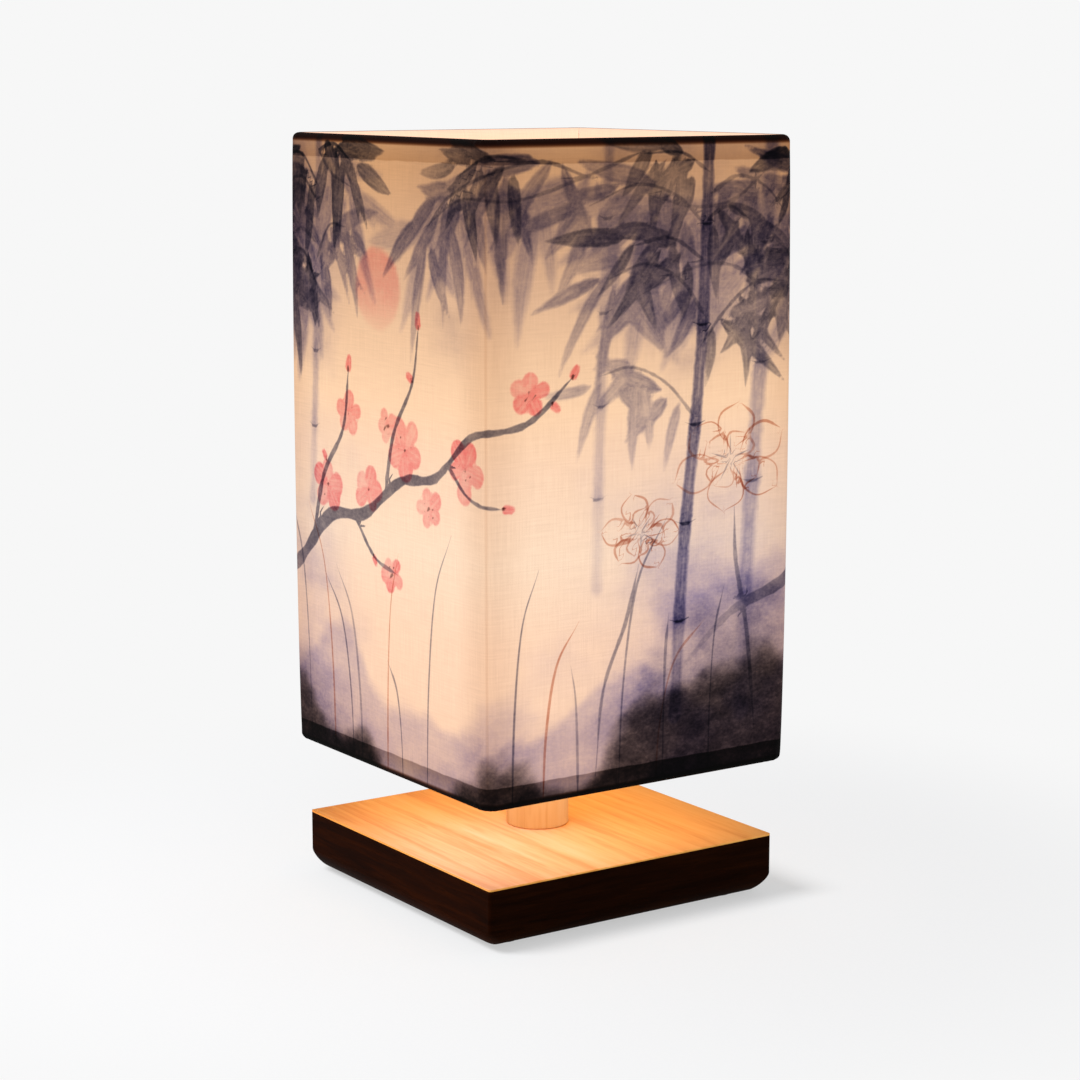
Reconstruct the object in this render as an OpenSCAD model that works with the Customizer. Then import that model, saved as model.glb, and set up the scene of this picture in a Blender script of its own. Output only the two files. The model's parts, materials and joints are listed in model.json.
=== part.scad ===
// Square fabric table lamp on a wooden base, in millimetres.
// Origin: centre of the footprint, on the table. +Z is up, -Y is the front.

/* [Base] */
// Side of the square base
base_w = 120; // [105:1:150]
// Height of the dark stained block
block_h = 20.4; // [18:0.1:30]
// Thickness of the light veneer on the block
veneer_t = 0.6; // [0.4:0.1:2]
// Radius of the block's upright corners
upright_r = 1.2; // [0.6:0.1:4]
// Radius of the rounded lower edges
under_r = 6; // [1:0.5:7]
// Depth of the recess for the nut, from below
recess_h = 13.2; // [12.5:0.1:15]

/* [Feet] */
// Diameter of a felt pad
pad_d = 12; // [8:1:20]
// Thickness of a felt pad
pad_h = 1.5; // [1:0.1:4]
// Distance from the base's side to a pad's edge
pad_inset = 8; // [6:1:20]

/* [Post] */
// Diameter of the wooden post
post_d = 22.5; // [18:0.5:30]
// Height of the post
post_h = 28.3; // [26:0.1:40]
// Chamfer on the post's two ends
post_chamfer = 0.6; // [0.2:0.1:1.5]

/* [Threaded tube] */
// Outer diameter of the threaded tube
tube_d = 10; // [8:0.5:11]
// Wall of the threaded tube
tube_wall = 1.2; // [1:0.1:1.5]
// Length of tube that stands below the nut
tube_tail = 2.5; // [1:0.1:3]
// Length of tube screwed into the holder's neck
tube_in = 6; // [4:0.1:6.8]
// Diameter of the washer
washer_d = 22; // [20:0.5:26]
// Thickness of the washer
washer_t = 1.5; // [1:0.1:2]
// Width of the nut across its flats
nut_w = 17; // [15:0.5:17.5]
// Thickness of the nut
nut_h = 5; // [3:0.1:5.5]

/* [Cord inlet] */
// Bore of the inlet bush, for the cord
cord_bore_d = 6.5; // [5:0.1:7]
// Diameter of the bush's body
bush_d = 9; // [8.4:0.1:10]
// Diameter of the bush's flange
bush_flange_d = 12; // [11:0.5:14]
// Thickness of the bush's flange
bush_flange_t = 2; // [1:0.1:2.5]
// Length of the bush's body inside the block
bush_l = 12; // [6:0.5:20]
// Diameter of the cord's channel through the block
channel_d = 7; // [6:0.1:7.2]
// Height of the inlet's axis above the block's underside
inlet_h = 9.5; // [8.5:0.1:10]

/* [Lampholder] */
// Diameter of the cap's neck
neck_d = 16; // [14:0.5:20]
// Height of the neck
neck_h = 7; // [7:0.1:12]
// Diameter of the cap
cup_d = 42; // [41.5:0.1:44]
// Height of the cap's cup
cup_h = 17; // [16:0.1:22]
// Radius of the cup's rounded underside
cup_r = 8; // [5:0.5:8]
// Wall of the cap
cup_wall = 2; // [1.6:0.1:2.1]
// Height of the wiring space under the insulating core
wiring_h = 6; // [5:0.1:6.5]
// Diameter of the wiring space
wiring_d = 30; // [29:0.5:31]
// Outer diameter of the threaded skirt
skirt_d = 39; // [38.6:0.1:40]
// Wall of the skirt
skirt_wall = 2; // [1.5:0.1:2.2]
// Height of the skirt above its shoulder
skirt_h = 24; // [24:0.1:26]
// Diameter of the shoulder that carries the shade
shoulder_d = 46; // [44:0.5:48]
// Thickness of the shoulder
shoulder_t = 2.5; // [1.5:0.1:4]
// Length of the spigot that screws into the cap
spigot_l = 6; // [3:0.5:7]
// Thickness of the inward lip at the skirt's mouth
lip_t = 2.3; // [1.5:0.1:2.4]
// Diameter of the mouth inside the lip
mouth_d = 30.4; // [29.5:0.1:32]
// Outer diameter of the shade ring
ring_d = 50; // [46:0.5:52]
// Height of the shade ring
ring_h = 7; // [4:0.5:12]
// Number of finger grooves round the shade ring
ring_grooves = 24; // [12:1:36]
// Diameter of the screw that locks the cap on its tube
grub_d = 3; // [2:0.5:4]

/* [Contacts] */
// Bore of the brass screw shell
socket_d = 26.7; // [26.5:0.1:27]
// Sheet thickness of the screw shell
socket_t = 0.45; // [0.3:0.05:0.6]
// Height of the screw shell
socket_h = 20; // [14:0.5:20.5]
// Diameter of the centre contact's head
plunger_d = 6.8; // [6:0.1:7.6]
// Thickness of the centre contact's head
plunger_head = 2.2; // [1.5:0.1:3]
// Diameter of the centre contact's stem
stem_d = 2.8; // [2.4:0.1:3]
// Height that the centre contact stands above the core's floor
plunger_up = 1.2; // [1:0.1:2]
// Travel of the centre contact when a bulb is screwed hard home
plunger_travel = 1; // [0.5:0.1:1]
// Wire of the contact spring
spring_wire_d = 0.6; // [0.4:0.05:0.7]
// Middle diameter of the contact spring
spring_d = 4.9; // [4.4:0.1:5]
// Turns of the contact spring
spring_turns = 6; // [4:1:7]
// Thickness of the brass strips
strip_t = 0.6; // [0.4:0.1:1]
// Width of the centre strip, which carries the spring
centre_strip_w = 9; // [7:0.5:10]
// Width of the side strip
side_strip_w = 5; // [4:0.5:8]
// Distance of each terminal screw from the axis
terminal_x = 9.5; // [9:0.1:10]
// Diameter of a terminal screw's shank
terminal_d = 3; // [2.5:0.1:3.5]
// Diameter of a terminal screw's head
terminal_head_d = 6; // [5:0.1:6.5]
// Thickness of a terminal screw's head
terminal_head_t = 2; // [1.2:0.1:2.4]
// Length of a terminal screw's shank
terminal_l = 8; // [5:0.1:9]

/* [Shade] */
// Outer side of the square shade
shade_w = 127; // [110:1:150]
// Height of the shade
shade_h = 219.3; // [205:0.1:260]
// Outer radius of the shade's corners
shade_r = 6; // [5.5:0.1:12]
// Thickness of the printed cloth
fabric_t = 0.6; // [0.4:0.1:0.8]
// Thickness of the stiff liner behind the cloth
liner_t = 0.8; // [0.5:0.1:1]
// Height of the hem that is rolled round each wire
hem_h = 8; // [7.5:0.5:14]
// Depth of the lower edge below the fitter ring
fitter_drop = 27.5; // [20:0.1:32]

/* [Shade frame] */
// Diameter of the top and bottom wires
wire_d = 3; // [2:0.1:3.2]
// Diameter of a spider arm
arm_d = 2.8; // [2:0.1:2.8]
// Outer diameter of the fitter ring
fitter_d = 54; // [53:0.5:60]
// Thickness of the fitter ring
fitter_t = 1.6; // [1:0.1:2.5]

/* [Bulb] */
// Diameter of the bulb's screw cap
cap_d = 26.2; // [26:0.05:26.3]
// Sheet thickness of the screw cap
cap_t = 0.5; // [0.3:0.05:0.6]
// Length of the screw cap's shell
cap_l = 21.5; // [20:0.1:27]
// Height of the taper at the foot of the shell
cap_taper_h = 1.2; // [1:0.1:2]
// Width of the shell's foot, turned in over the insulator
cap_lip_w = 3; // [2:0.1:5]
// Height of the black insulator under the shell
insulator_h = 3.9; // [3:0.1:6]
// Width of the insulator's rim round the tip contact
insulator_rim = 0.6; // [0.3:0.1:1]
// Diameter of the tip contact
tip_d = 9.4; // [7:0.1:11]
// Thickness of the tip contact
tip_h = 1.6; // [1:0.1:3]
// Diameter of the housing where it leaves the screw cap
neck_out_d = 27; // [26.5:0.1:29]
// Height of the housing above the screw cap
housing_h = 39; // [34:0.5:48]
// Height of the straight band under the globe
housing_band = 1; // [0.5:0.1:3]
// Width of the housing's rim outside the globe
housing_rim = 0.4; // [0.2:0.1:1]
// Radius of the housing's hollow flank
flank_r = 60; // [52:1:120]
// Diameter of the opal globe
globe_d = 60; // [56:0.5:61]
// Wall of the opal globe
globe_wall = 1.2; // [0.8:0.1:2]
// Height of the globe's centre above its seat
globe_rise = 12; // [8:0.5:14]
// Diameter of the board inside the globe
board_d = 48; // [42:0.5:50]
// Thickness of the board
board_t = 1.4; // [1:0.1:2]
// Number of light chips on the board
chips = 10; // [6:1:14]
// Diameter of the circle that the chips stand on
chip_circle_d = 32; // [20:1:36]
// Side of a light chip
chip_w = 2.8; // [2:0.1:3.5]
// Height of a light chip
chip_h = 0.7; // [0.4:0.1:1]

/* [Fits] */
// Clearance round a fixed screw, tube or spigot
fixed_gap = 0.1; // [0.05:0.01:0.12]
// Clearance round what turns or slides
running_gap = 0.08; // [0.04:0.01:0.1]
// Clearance round what drops in loosely
loose_gap = 0.3; // [0.2:0.05:0.35]
// Clearance between the washer and the wall of its recess
spanner_gap = 1; // [0.8:0.1:1.2]
// Clearance of the fitter ring round the skirt
fitter_gap = 0.4; // [0.2:0.05:0.6]
// Clearance round a spider arm where the hem is notched
notch_gap = 0.4; // [0.2:0.1:0.6]
// Clearance between the wires and the cloth rolled round them
roll_gap = 0.1; // [0.05:0.05:0.2]

/* [Hidden] */
$fn = 96;

// How far a cutting tool runs past the face that it opens
over = 1;

// Heights of the base and of what clamps it
block_z = pad_h;
veneer_z = block_z + block_h;
top_z = veneer_z + veneer_t;
recess_z = block_z + recess_h;
recess_r = washer_d / 2 + spanner_gap;
nut_z = recess_z - washer_t - nut_h;
tube_z = nut_z - tube_tail;
tube_hole_r = tube_d / 2 + fixed_gap;
inlet_z = block_z + inlet_h;
pad_at = base_w / 2 - pad_inset - pad_d / 2;

// Heights of the lampholder
cap_z = top_z + post_h;
cup_z = cap_z + neck_h;
core_z = cup_z + cup_wall + wiring_h;
rim_z = cup_z + cup_h;
shoulder_z = rim_z + shoulder_t;
skirt_z = shoulder_z + skirt_h;
skirt_bore_r = skirt_d / 2 - skirt_wall;
cup_bore_r = cup_d / 2 - cup_wall;
core_r = skirt_bore_r - loose_gap;
core_floor_z = shoulder_z;
core_top_z = skirt_z - lip_t - fixed_gap;
socket_r = socket_d / 2 + socket_t;
sleeve_r = socket_r + fixed_gap;
plunger_bore_r = plunger_d / 2 + running_gap;
plunger_z = core_floor_z + plunger_up;
strip_z = core_z - strip_t;

// Heights of the shade
fitter_z = shoulder_z + running_gap;
ring_z = fitter_z + fitter_t + running_gap;
shade_z = fitter_z - fitter_drop;
roll_r = wire_d / 2 + roll_gap + fabric_t;
side_l = shade_w - 2 * shade_r;
wire_at = shade_w / 2 - roll_r;
wire_bend_r = shade_r - roll_r;
low_wire_z = shade_z + roll_r;
high_wire_z = shade_z + shade_h - roll_r;
arm_z = fitter_z + fitter_t / 2;
arm_run = wire_at - fitter_d / 2;
arm_drop = arm_z - low_wire_z;
arm_l = sqrt(arm_run * arm_run + arm_drop * arm_drop);
arm_tilt = atan2(arm_run, -arm_drop);

// Heights of the bulb, which stands on the centre contact
tip_z = plunger_z;
insulator_z = tip_z + tip_h;
shell_z = insulator_z + insulator_h;
housing_z = shell_z + cap_l;
seat_z = housing_z + housing_h;
globe_z = seat_z + globe_rise;
seat_r = sqrt(pow(globe_d / 2, 2) - pow(globe_rise, 2));
cap_bore_r = cap_d / 2 - cap_t;
foot_r = cap_d / 2 - 2 * cap_t;

// Square with round corners, centred
module rounded_square(side, r) {
    square([side - 2 * r, side], center = true);
    square([side, side - 2 * r], center = true);
    for (x = [-1, 1], y = [-1, 1])
        translate([x, y] * (side / 2 - r))
            circle(r);
}

// Upright slab seen from its side, with its two lower edges rounded
module round_bottomed(w, h, r) {
    translate([-w / 2, r])
        square([w, h - r]);
    translate([-w / 2 + r, 0])
        square([w - 2 * r, h]);
    for (x = [-1, 1])
        translate([x * (w / 2 - r), r])
            circle(r);
}

// Half outline of a turned cup with a round lower edge
module cup_outline(r, h, edge) {
    square([r - edge, h]);
    translate([0, edge])
        square([r, h - edge]);
    translate([r - edge, edge])
        circle(edge);
}

module tube(d_out, d_in, h) {
    difference() {
        cylinder(h = h, d = d_out);
        translate([0, 0, -over])
            cylinder(h = h + 2 * over, d = d_in);
    }
}

// Turned disc with both rims chamfered
module chamfered(d, h, c) {
    rotate_extrude()
        polygon([[0, 0], [d / 2 - c, 0], [d / 2, c], [d / 2, h - c], [d / 2 - c, h], [0, h]]);
}

// Base

module base_block() {
    color("#24120a")
        difference() {
            translate([0, 0, block_z])
                intersection() {
                    linear_extrude(block_h)
                        rounded_square(base_w, upright_r);
                    translate([0, base_w / 2 + over, 0])
                        rotate([90, 0, 0])
                            linear_extrude(base_w + 2 * over)
                                round_bottomed(base_w, block_h, under_r);
                    translate([-base_w / 2 - over, 0, 0])
                        rotate([90, 0, 90])
                            linear_extrude(base_w + 2 * over)
                                round_bottomed(base_w, block_h, under_r);
                }
            // Recess for the washer and nut, and the tube's hole above it
            translate([0, 0, block_z - over])
                cylinder(h = recess_h + over, r = recess_r);
            translate([0, 0, block_z])
                cylinder(h = block_h + over, r = tube_hole_r);
            // Channel that leads the cord to the back, and the bush's seat
            translate([0, recess_r - over, inlet_z])
                rotate([-90, 0, 0])
                    cylinder(h = base_w / 2 - recess_r + 2 * over, d = channel_d);
            translate([0, base_w / 2 - bush_l, inlet_z])
                rotate([-90, 0, 0])
                    cylinder(h = bush_l + over, r = bush_d / 2 + fixed_gap);
        }
}

module base_veneer() {
    color("#e9b274")
        translate([0, 0, veneer_z])
            difference() {
                linear_extrude(veneer_t)
                    rounded_square(base_w, upright_r);
                translate([0, 0, -over])
                    cylinder(h = veneer_t + 2 * over, r = tube_hole_r);
            }
}

module foot_pad(x, y) {
    color("#2b2522")
        translate([x * pad_at, y * pad_at, 0])
            chamfered(pad_d, pad_h, pad_h / 5);
}

module post() {
    color("#e2a868")
        translate([0, 0, top_z])
            difference() {
                chamfered(post_d, post_h, post_chamfer);
                translate([0, 0, -over])
                    cylinder(h = post_h + 2 * over, r = tube_hole_r);
            }
}

module threaded_tube() {
    color("#b9b7ae")
        translate([0, 0, tube_z])
            tube(tube_d, tube_d - 2 * tube_wall, cap_z + tube_in - tube_z);
}

module tube_washer() {
    color("#b4b3ad")
        translate([0, 0, recess_z - washer_t])
            tube(washer_d, tube_d + 2 * fixed_gap, washer_t);
}

// The nut's six corners are turned off by a cone above and below
module tube_nut() {
    nut_r = nut_w / sqrt(3);
    color("#b08d45")
        translate([0, 0, nut_z])
            difference() {
                intersection() {
                    cylinder(h = nut_h, r = nut_r, $fn = 6);
                    chamfered(2 * nut_r, nut_h, nut_h / 6);
                }
                translate([0, 0, -over])
                    cylinder(h = nut_h + 2 * over, r = tube_d / 2 + fixed_gap);
            }
}

module cord_bush() {
    color("#191613")
        translate([0, base_w / 2, inlet_z])
            rotate([-90, 0, 0])
                difference() {
                    union() {
                        translate([0, 0, -bush_l])
                            cylinder(h = bush_l, d = bush_d);
                        chamfered(bush_flange_d, bush_flange_t, bush_flange_t / 4);
                    }
                    translate([0, 0, -bush_l - over])
                        cylinder(h = bush_l + bush_flange_t + 2 * over, d = cord_bore_d);
                }
}

// Lampholder

module holder_cap() {
    color("#efe9dc")
        translate([0, 0, cap_z])
            difference() {
                rotate_extrude()
                    difference() {
                        union() {
                            square([neck_d / 2, neck_h + cup_wall]);
                            translate([0, neck_h])
                                cup_outline(cup_d / 2, cup_h, cup_r);
                        }
                        translate([0, neck_h + cup_wall])
                            square([wiring_d / 2, cup_h]);
                        translate([0, core_z - cap_z])
                            square([cup_bore_r, cup_h]);
                    }
                translate([0, 0, -over])
                    cylinder(h = neck_h + cup_wall + 2 * over, r = tube_hole_r);
                translate([0, 0, neck_h / 2])
                    rotate([-90, 0, 0])
                        cylinder(h = neck_d, r = grub_d / 2 + fixed_gap / 2);
            }
}

module grub_screw() {
    color("#8f8f8c")
        translate([0, tube_hole_r, cap_z + neck_h / 2])
            rotate([-90, 0, 0])
                difference() {
                    cylinder(h = neck_d / 2 - tube_hole_r - fixed_gap, d = grub_d);
                    translate([0, 0, neck_d / 2 - tube_hole_r - grub_d / 2])
                        cylinder(h = grub_d, d = grub_d / 2, $fn = 6);
                }
}

module holder_shell() {
    skirt_r = skirt_d / 2;
    spigot_r = cup_bore_r - fixed_gap;
    edge = shoulder_t / 5;
    color("#f1ecdf")
        rotate_extrude()
            polygon([
                [skirt_bore_r, rim_z - spigot_l], [spigot_r, rim_z - spigot_l],
                [spigot_r, rim_z], [shoulder_d / 2 - edge, rim_z],
                [shoulder_d / 2, rim_z + edge], [shoulder_d / 2, shoulder_z - edge],
                [shoulder_d / 2 - edge, shoulder_z], [skirt_r, shoulder_z],
                [skirt_r, skirt_z - edge], [skirt_r - edge, skirt_z],
                [mouth_d / 2 + edge, skirt_z], [mouth_d / 2, skirt_z - edge],
                [mouth_d / 2, skirt_z - lip_t], [skirt_bore_r, skirt_z - lip_t]
            ]);
}

// Insulating core: a thick floor with the terminals, and a sleeve for the screw shell
module holder_core() {
    color("#f6f2ea")
        difference() {
            translate([0, 0, core_z])
                cylinder(h = core_top_z - core_z, r = core_r);
            translate([0, 0, core_floor_z])
                cylinder(h = skirt_h, r = sleeve_r);
            translate([0, 0, core_z - over])
                cylinder(h = core_floor_z - core_z + 2 * over, r = plunger_bore_r);
            for (x = [-1, 1])
                translate([x * terminal_x, 0, core_z - over])
                    cylinder(h = terminal_l + over, r = terminal_d / 2 + fixed_gap / 2);
            translate([-socket_r - fixed_gap, -side_strip_w / 2 - fixed_gap, core_z - over])
                cube([
                    strip_t + 2 * fixed_gap,
                    side_strip_w + 2 * fixed_gap,
                    core_floor_z - core_z + 2 * over
                ]);
        }
}

module screw_shell() {
    color("#d8b05a")
        translate([0, 0, core_floor_z])
            tube(2 * socket_r, socket_d, socket_h);
}

module contact_plunger() {
    head_r = plunger_d / 2;
    bevel = plunger_head / 4;
    stem_foot_z = strip_z - plunger_travel;
    color("#d8b05a")
        rotate_extrude()
            polygon([
                [0, stem_foot_z], [stem_d / 2, stem_foot_z],
                [stem_d / 2, plunger_z - plunger_head], [head_r, plunger_z - plunger_head],
                [head_r, plunger_z - bevel], [head_r - bevel, plunger_z], [0, plunger_z]
            ]);
}

// One unbroken wire, wound as a helix between the centre strip and the plunger's head
module contact_spring() {
    sides = 6;
    steps = 12;
    wire_r = spring_wire_d / 2;
    low = core_z + wire_r;
    rise = plunger_z - plunger_head - core_z - spring_wire_d;
    rings = spring_turns * steps;
    coil_gap = rise / spring_turns - spring_wire_d;
    points = [
        for (i = [0:rings], j = [0:sides - 1])
            let (turn = 360 * i / steps, a = 360 * j / sides, r = spring_d / 2 + wire_r * cos(a))
                [r * cos(turn), r * sin(turn), low + rise * i / rings + wire_r * sin(a)]
    ];
    bands = [
        for (i = [0:rings - 1], j = [0:sides - 1])
            let (a = i * sides + j, b = i * sides + (j + 1) % sides)
                each [[a, a + sides, b + sides], [a, b + sides, b]]
    ];
    first_end = [for (j = [1:sides - 2]) [0, j, j + 1]];
    last = rings * sides;
    last_end = [for (j = [1:sides - 2]) [last, last + j + 1, last + j]];
    echo(contact_spring_gap = coil_gap);
    color("#c9c9c6")
        polyhedron(points = points, faces = concat(bands, first_end, last_end));
}

module centre_strip() {
    color("#d8b05a")
        difference() {
            translate([-centre_strip_w / 2, -centre_strip_w / 2, strip_z])
                cube([centre_strip_w / 2 + terminal_x + terminal_head_d / 2, centre_strip_w, strip_t]);
            translate([0, 0, strip_z - over])
                cylinder(h = strip_t + 2 * over, r = stem_d / 2 + running_gap);
            translate([terminal_x, 0, strip_z - over])
                cylinder(h = strip_t + 2 * over, r = terminal_d / 2 + fixed_gap);
        }
}

// Bent strip from the terminal, up through the core, to the rim of the screw shell
module side_strip() {
    color("#d8b05a")
        translate([-socket_r, -side_strip_w / 2, strip_z])
            difference() {
                union() {
                    cube([socket_r - terminal_x + terminal_head_d / 2, side_strip_w, strip_t]);
                    cube([strip_t, side_strip_w, core_floor_z - strip_z]);
                }
                translate([socket_r - terminal_x, side_strip_w / 2, -over])
                    cylinder(h = strip_t + 2 * over, r = terminal_d / 2 + fixed_gap);
            }
}

module terminal_screw(x) {
    slot_w = terminal_head_d / 6;
    color("#c8c6bf")
        translate([x * terminal_x, 0, strip_z])
            difference() {
                union() {
                    cylinder(h = terminal_l, d = terminal_d);
                    translate([0, 0, -terminal_head_t])
                        chamfered(terminal_head_d, terminal_head_t, terminal_head_t / 5);
                }
                translate([-terminal_head_d, -slot_w / 2, -2 * terminal_head_t])
                    cube([2 * terminal_head_d, slot_w, 1.5 * terminal_head_t]);
            }
}

// Shade

// Section through a rolled edge: x runs inwards from the cloth's face, y up from the edge
module rolled_edge() {
    inner = 2 * roll_r;
    back = fabric_t + liner_t;
    leave_h = roll_r + wire_d / 3;
    intersection() {
        translate([roll_r, roll_r])
            difference() {
                circle(roll_r);
                circle(roll_r - fabric_t);
            }
        square([inner, roll_r]);
    }
    polygon([
        [inner - fabric_t, roll_r], [inner, roll_r], [inner, leave_h],
        [back + fabric_t, hem_h], [back, hem_h], [inner - fabric_t, leave_h]
    ]);
}

// Section through the cloth from its lower rolled edge to its upper one
module cloth_section() {
    translate([0, roll_r])
        square([fabric_t, shade_h - 2 * roll_r]);
    rolled_edge();
    translate([0, shade_h])
        mirror([0, 1])
            rolled_edge();
}

// Spider arm along +X, from the fitter ring's rim to the bottom wire's middle
module arm_rod(d) {
    translate([fitter_d / 2, 0, arm_z])
        rotate([0, arm_tilt, 0])
            translate([0, 0, -arm_d])
                cylinder(h = arm_l + arm_d, d = d);
}

module shade_fabric() {
    color("#f2d9b8")
        difference() {
            for (turn = [0:90:270])
                rotate(turn)
                    translate([0, 0, shade_z]) {
                        translate([-side_l / 2, -shade_w / 2, 0])
                            rotate([90, 0, 90])
                                linear_extrude(side_l)
                                    cloth_section();
                        translate([-side_l / 2, -side_l / 2, 0])
                            rotate(180)
                                rotate_extrude(angle = 90)
                                    translate([shade_r, 0])
                                        mirror([1, 0])
                                            cloth_section();
                    }
            // The lower hem is notched round the four arms
            for (turn = [0:90:270])
                rotate(turn)
                    arm_rod(arm_d + 2 * notch_gap);
        }
}

module shade_liner() {
    face_w = shade_w - 2 * fabric_t;
    end_in = roll_r + wire_d / 2 + fabric_t;
    color("#fbf3e4")
        translate([0, 0, shade_z + end_in])
            linear_extrude(shade_h - 2 * end_in)
                difference() {
                    rounded_square(face_w, shade_r - fabric_t);
                    rounded_square(face_w - 2 * liner_t, shade_r - fabric_t - liner_t);
                }
}

// Square of wire with bent corners
module wire_square(z) {
    color("#b9b6ad")
        for (turn = [0:90:270])
            rotate(turn)
                translate([0, 0, z]) {
                    translate([-side_l / 2, -wire_at, 0])
                        rotate([0, 90, 0])
                            cylinder(h = side_l, d = wire_d);
                    translate([-side_l / 2, -side_l / 2, 0])
                        rotate(180)
                            rotate_extrude(angle = 90)
                                translate([wire_bend_r, 0])
                                    circle(d = wire_d);
                }
}

module top_wire() {
    wire_square(high_wire_z);
}

module bottom_wire() {
    wire_square(low_wire_z);
}

// Each arm is cut to the ring's rim at one end and saddled on the wire at the other
module spider_arm(number) {
    color("#b9b6ad")
        rotate(90 * number)
            difference() {
                arm_rod(arm_d);
                translate([0, 0, arm_z - 2 * arm_d])
                    cylinder(h = 4 * arm_d, d = fitter_d);
                translate([wire_at, -arm_d, low_wire_z])
                    rotate([-90, 0, 0])
                        cylinder(h = 2 * arm_d, d = wire_d);
            }
}

module fitter_ring() {
    color("#b9b6ad")
        translate([0, 0, fitter_z])
            tube(fitter_d, skirt_d + 2 * fitter_gap, fitter_t);
}

// Threaded ring with finger grooves, which clamps the fitter ring on the shoulder
module shade_ring() {
    groove_d = 0.35 * PI * ring_d / ring_grooves;
    color("#f1ecdf")
        translate([0, 0, ring_z])
            difference() {
                chamfered(ring_d, ring_h, ring_h / 10);
                translate([0, 0, -over])
                    cylinder(h = ring_h + 2 * over, r = skirt_d / 2 + running_gap);
                for (i = [0:ring_grooves - 1])
                    rotate(360 * i / ring_grooves)
                        translate([ring_d / 2, 0, -over])
                            cylinder(h = ring_h + 2 * over, d = groove_d, $fn = 24);
            }
}

// Bulb

// Thin brass shell, its foot turned in over the insulator
module bulb_screw_cap() {
    color("#c9c6bd")
        translate([0, 0, shell_z])
            rotate_extrude()
                polygon([
                    [foot_r - cap_lip_w, 0], [foot_r, 0], [cap_d / 2, cap_taper_h], [cap_d / 2, cap_l],
                    [cap_bore_r, cap_l], [cap_bore_r, cap_taper_h + cap_t], [foot_r - cap_t, cap_t],
                    [foot_r - cap_lip_w, cap_t]
                ]);
}

module bulb_insulator() {
    color("#1c1a19")
        translate([0, 0, insulator_z])
            rotate_extrude()
                polygon([
                    [0, 0], [tip_d / 2 + insulator_rim, 0], [foot_r, insulator_h], [0, insulator_h]
                ]);
}

module bulb_tip() {
    color("#c9c6bd")
        translate([0, 0, tip_z])
            rotate_extrude()
                polygon([
                    [0, 0], [tip_d / 2 - tip_h, 0], [tip_d / 2, tip_h / 2], [tip_d / 2, tip_h], [0, tip_h]
                ]);
}

// Flared housing with a hollow flank, on a spigot that fills the screw cap's mouth
module bulb_housing() {
    low_r = neck_out_d / 2;
    high_r = seat_r + housing_rim;
    flank_h = housing_h - housing_band;
    chord = sqrt(pow(high_r - low_r, 2) + pow(flank_h, 2));
    lean = atan2(high_r - low_r, flank_h);
    centre_out = sqrt(pow(flank_r, 2) - pow(chord / 2, 2));
    color("#f4f1ea")
        translate([0, 0, housing_z])
            rotate_extrude()
                difference() {
                    union() {
                        translate([0, -cap_l / 4])
                            square([cap_bore_r - running_gap, cap_l / 4 + housing_band]);
                        polygon([
                            [0, 0], [low_r, 0], [high_r, flank_h], [high_r, housing_h], [0, housing_h]
                        ]);
                    }
                    translate([
                        (low_r + high_r) / 2 + centre_out * cos(lean),
                        flank_h / 2 - centre_out * sin(lean)
                    ])
                        circle(flank_r, $fn = 360);
                }
}

module led_board() {
    color("#f2f2ee")
        translate([0, 0, seat_z]) {
            cylinder(h = board_t, d = board_d);
            for (i = [0:chips - 1])
                rotate(360 * i / chips)
                    translate([(chip_circle_d - chip_w) / 2, -chip_w / 2, 0])
                        cube([chip_w, chip_w, board_t + chip_h]);
        }
}

module bulb_globe() {
    color("#fff6e6")
        translate([0, 0, globe_z])
            rotate_extrude()
                intersection() {
                    difference() {
                        circle(d = globe_d);
                        circle(d = globe_d - 2 * globe_wall);
                    }
                    translate([0, -globe_rise])
                        square([globe_d, globe_d]);
                }
}

base_block();
base_veneer();
foot_pad(-1, -1);  // foot_pad_1
foot_pad(1, -1);  // foot_pad_2
foot_pad(1, 1);  // foot_pad_3
foot_pad(-1, 1);  // foot_pad_4
post();
threaded_tube();
tube_washer();
tube_nut();
cord_bush();
holder_cap();
grub_screw();
holder_shell();
holder_core();
screw_shell();
contact_plunger();
contact_spring();
centre_strip();
side_strip();
terminal_screw(1);  // terminal_screw_1
terminal_screw(-1);  // terminal_screw_2
shade_fabric();
shade_liner();
top_wire();
bottom_wire();
spider_arm(0);  // spider_arm_1
spider_arm(1);  // spider_arm_2
spider_arm(2);  // spider_arm_3
spider_arm(3);  // spider_arm_4
fitter_ring();
shade_ring();
bulb_screw_cap();
bulb_insulator();
bulb_tip();
bulb_housing();
led_board();
bulb_globe();
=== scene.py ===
import json
import logging
import math
from collections.abc import Sequence
from dataclasses import dataclass
from enum import Enum

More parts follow.
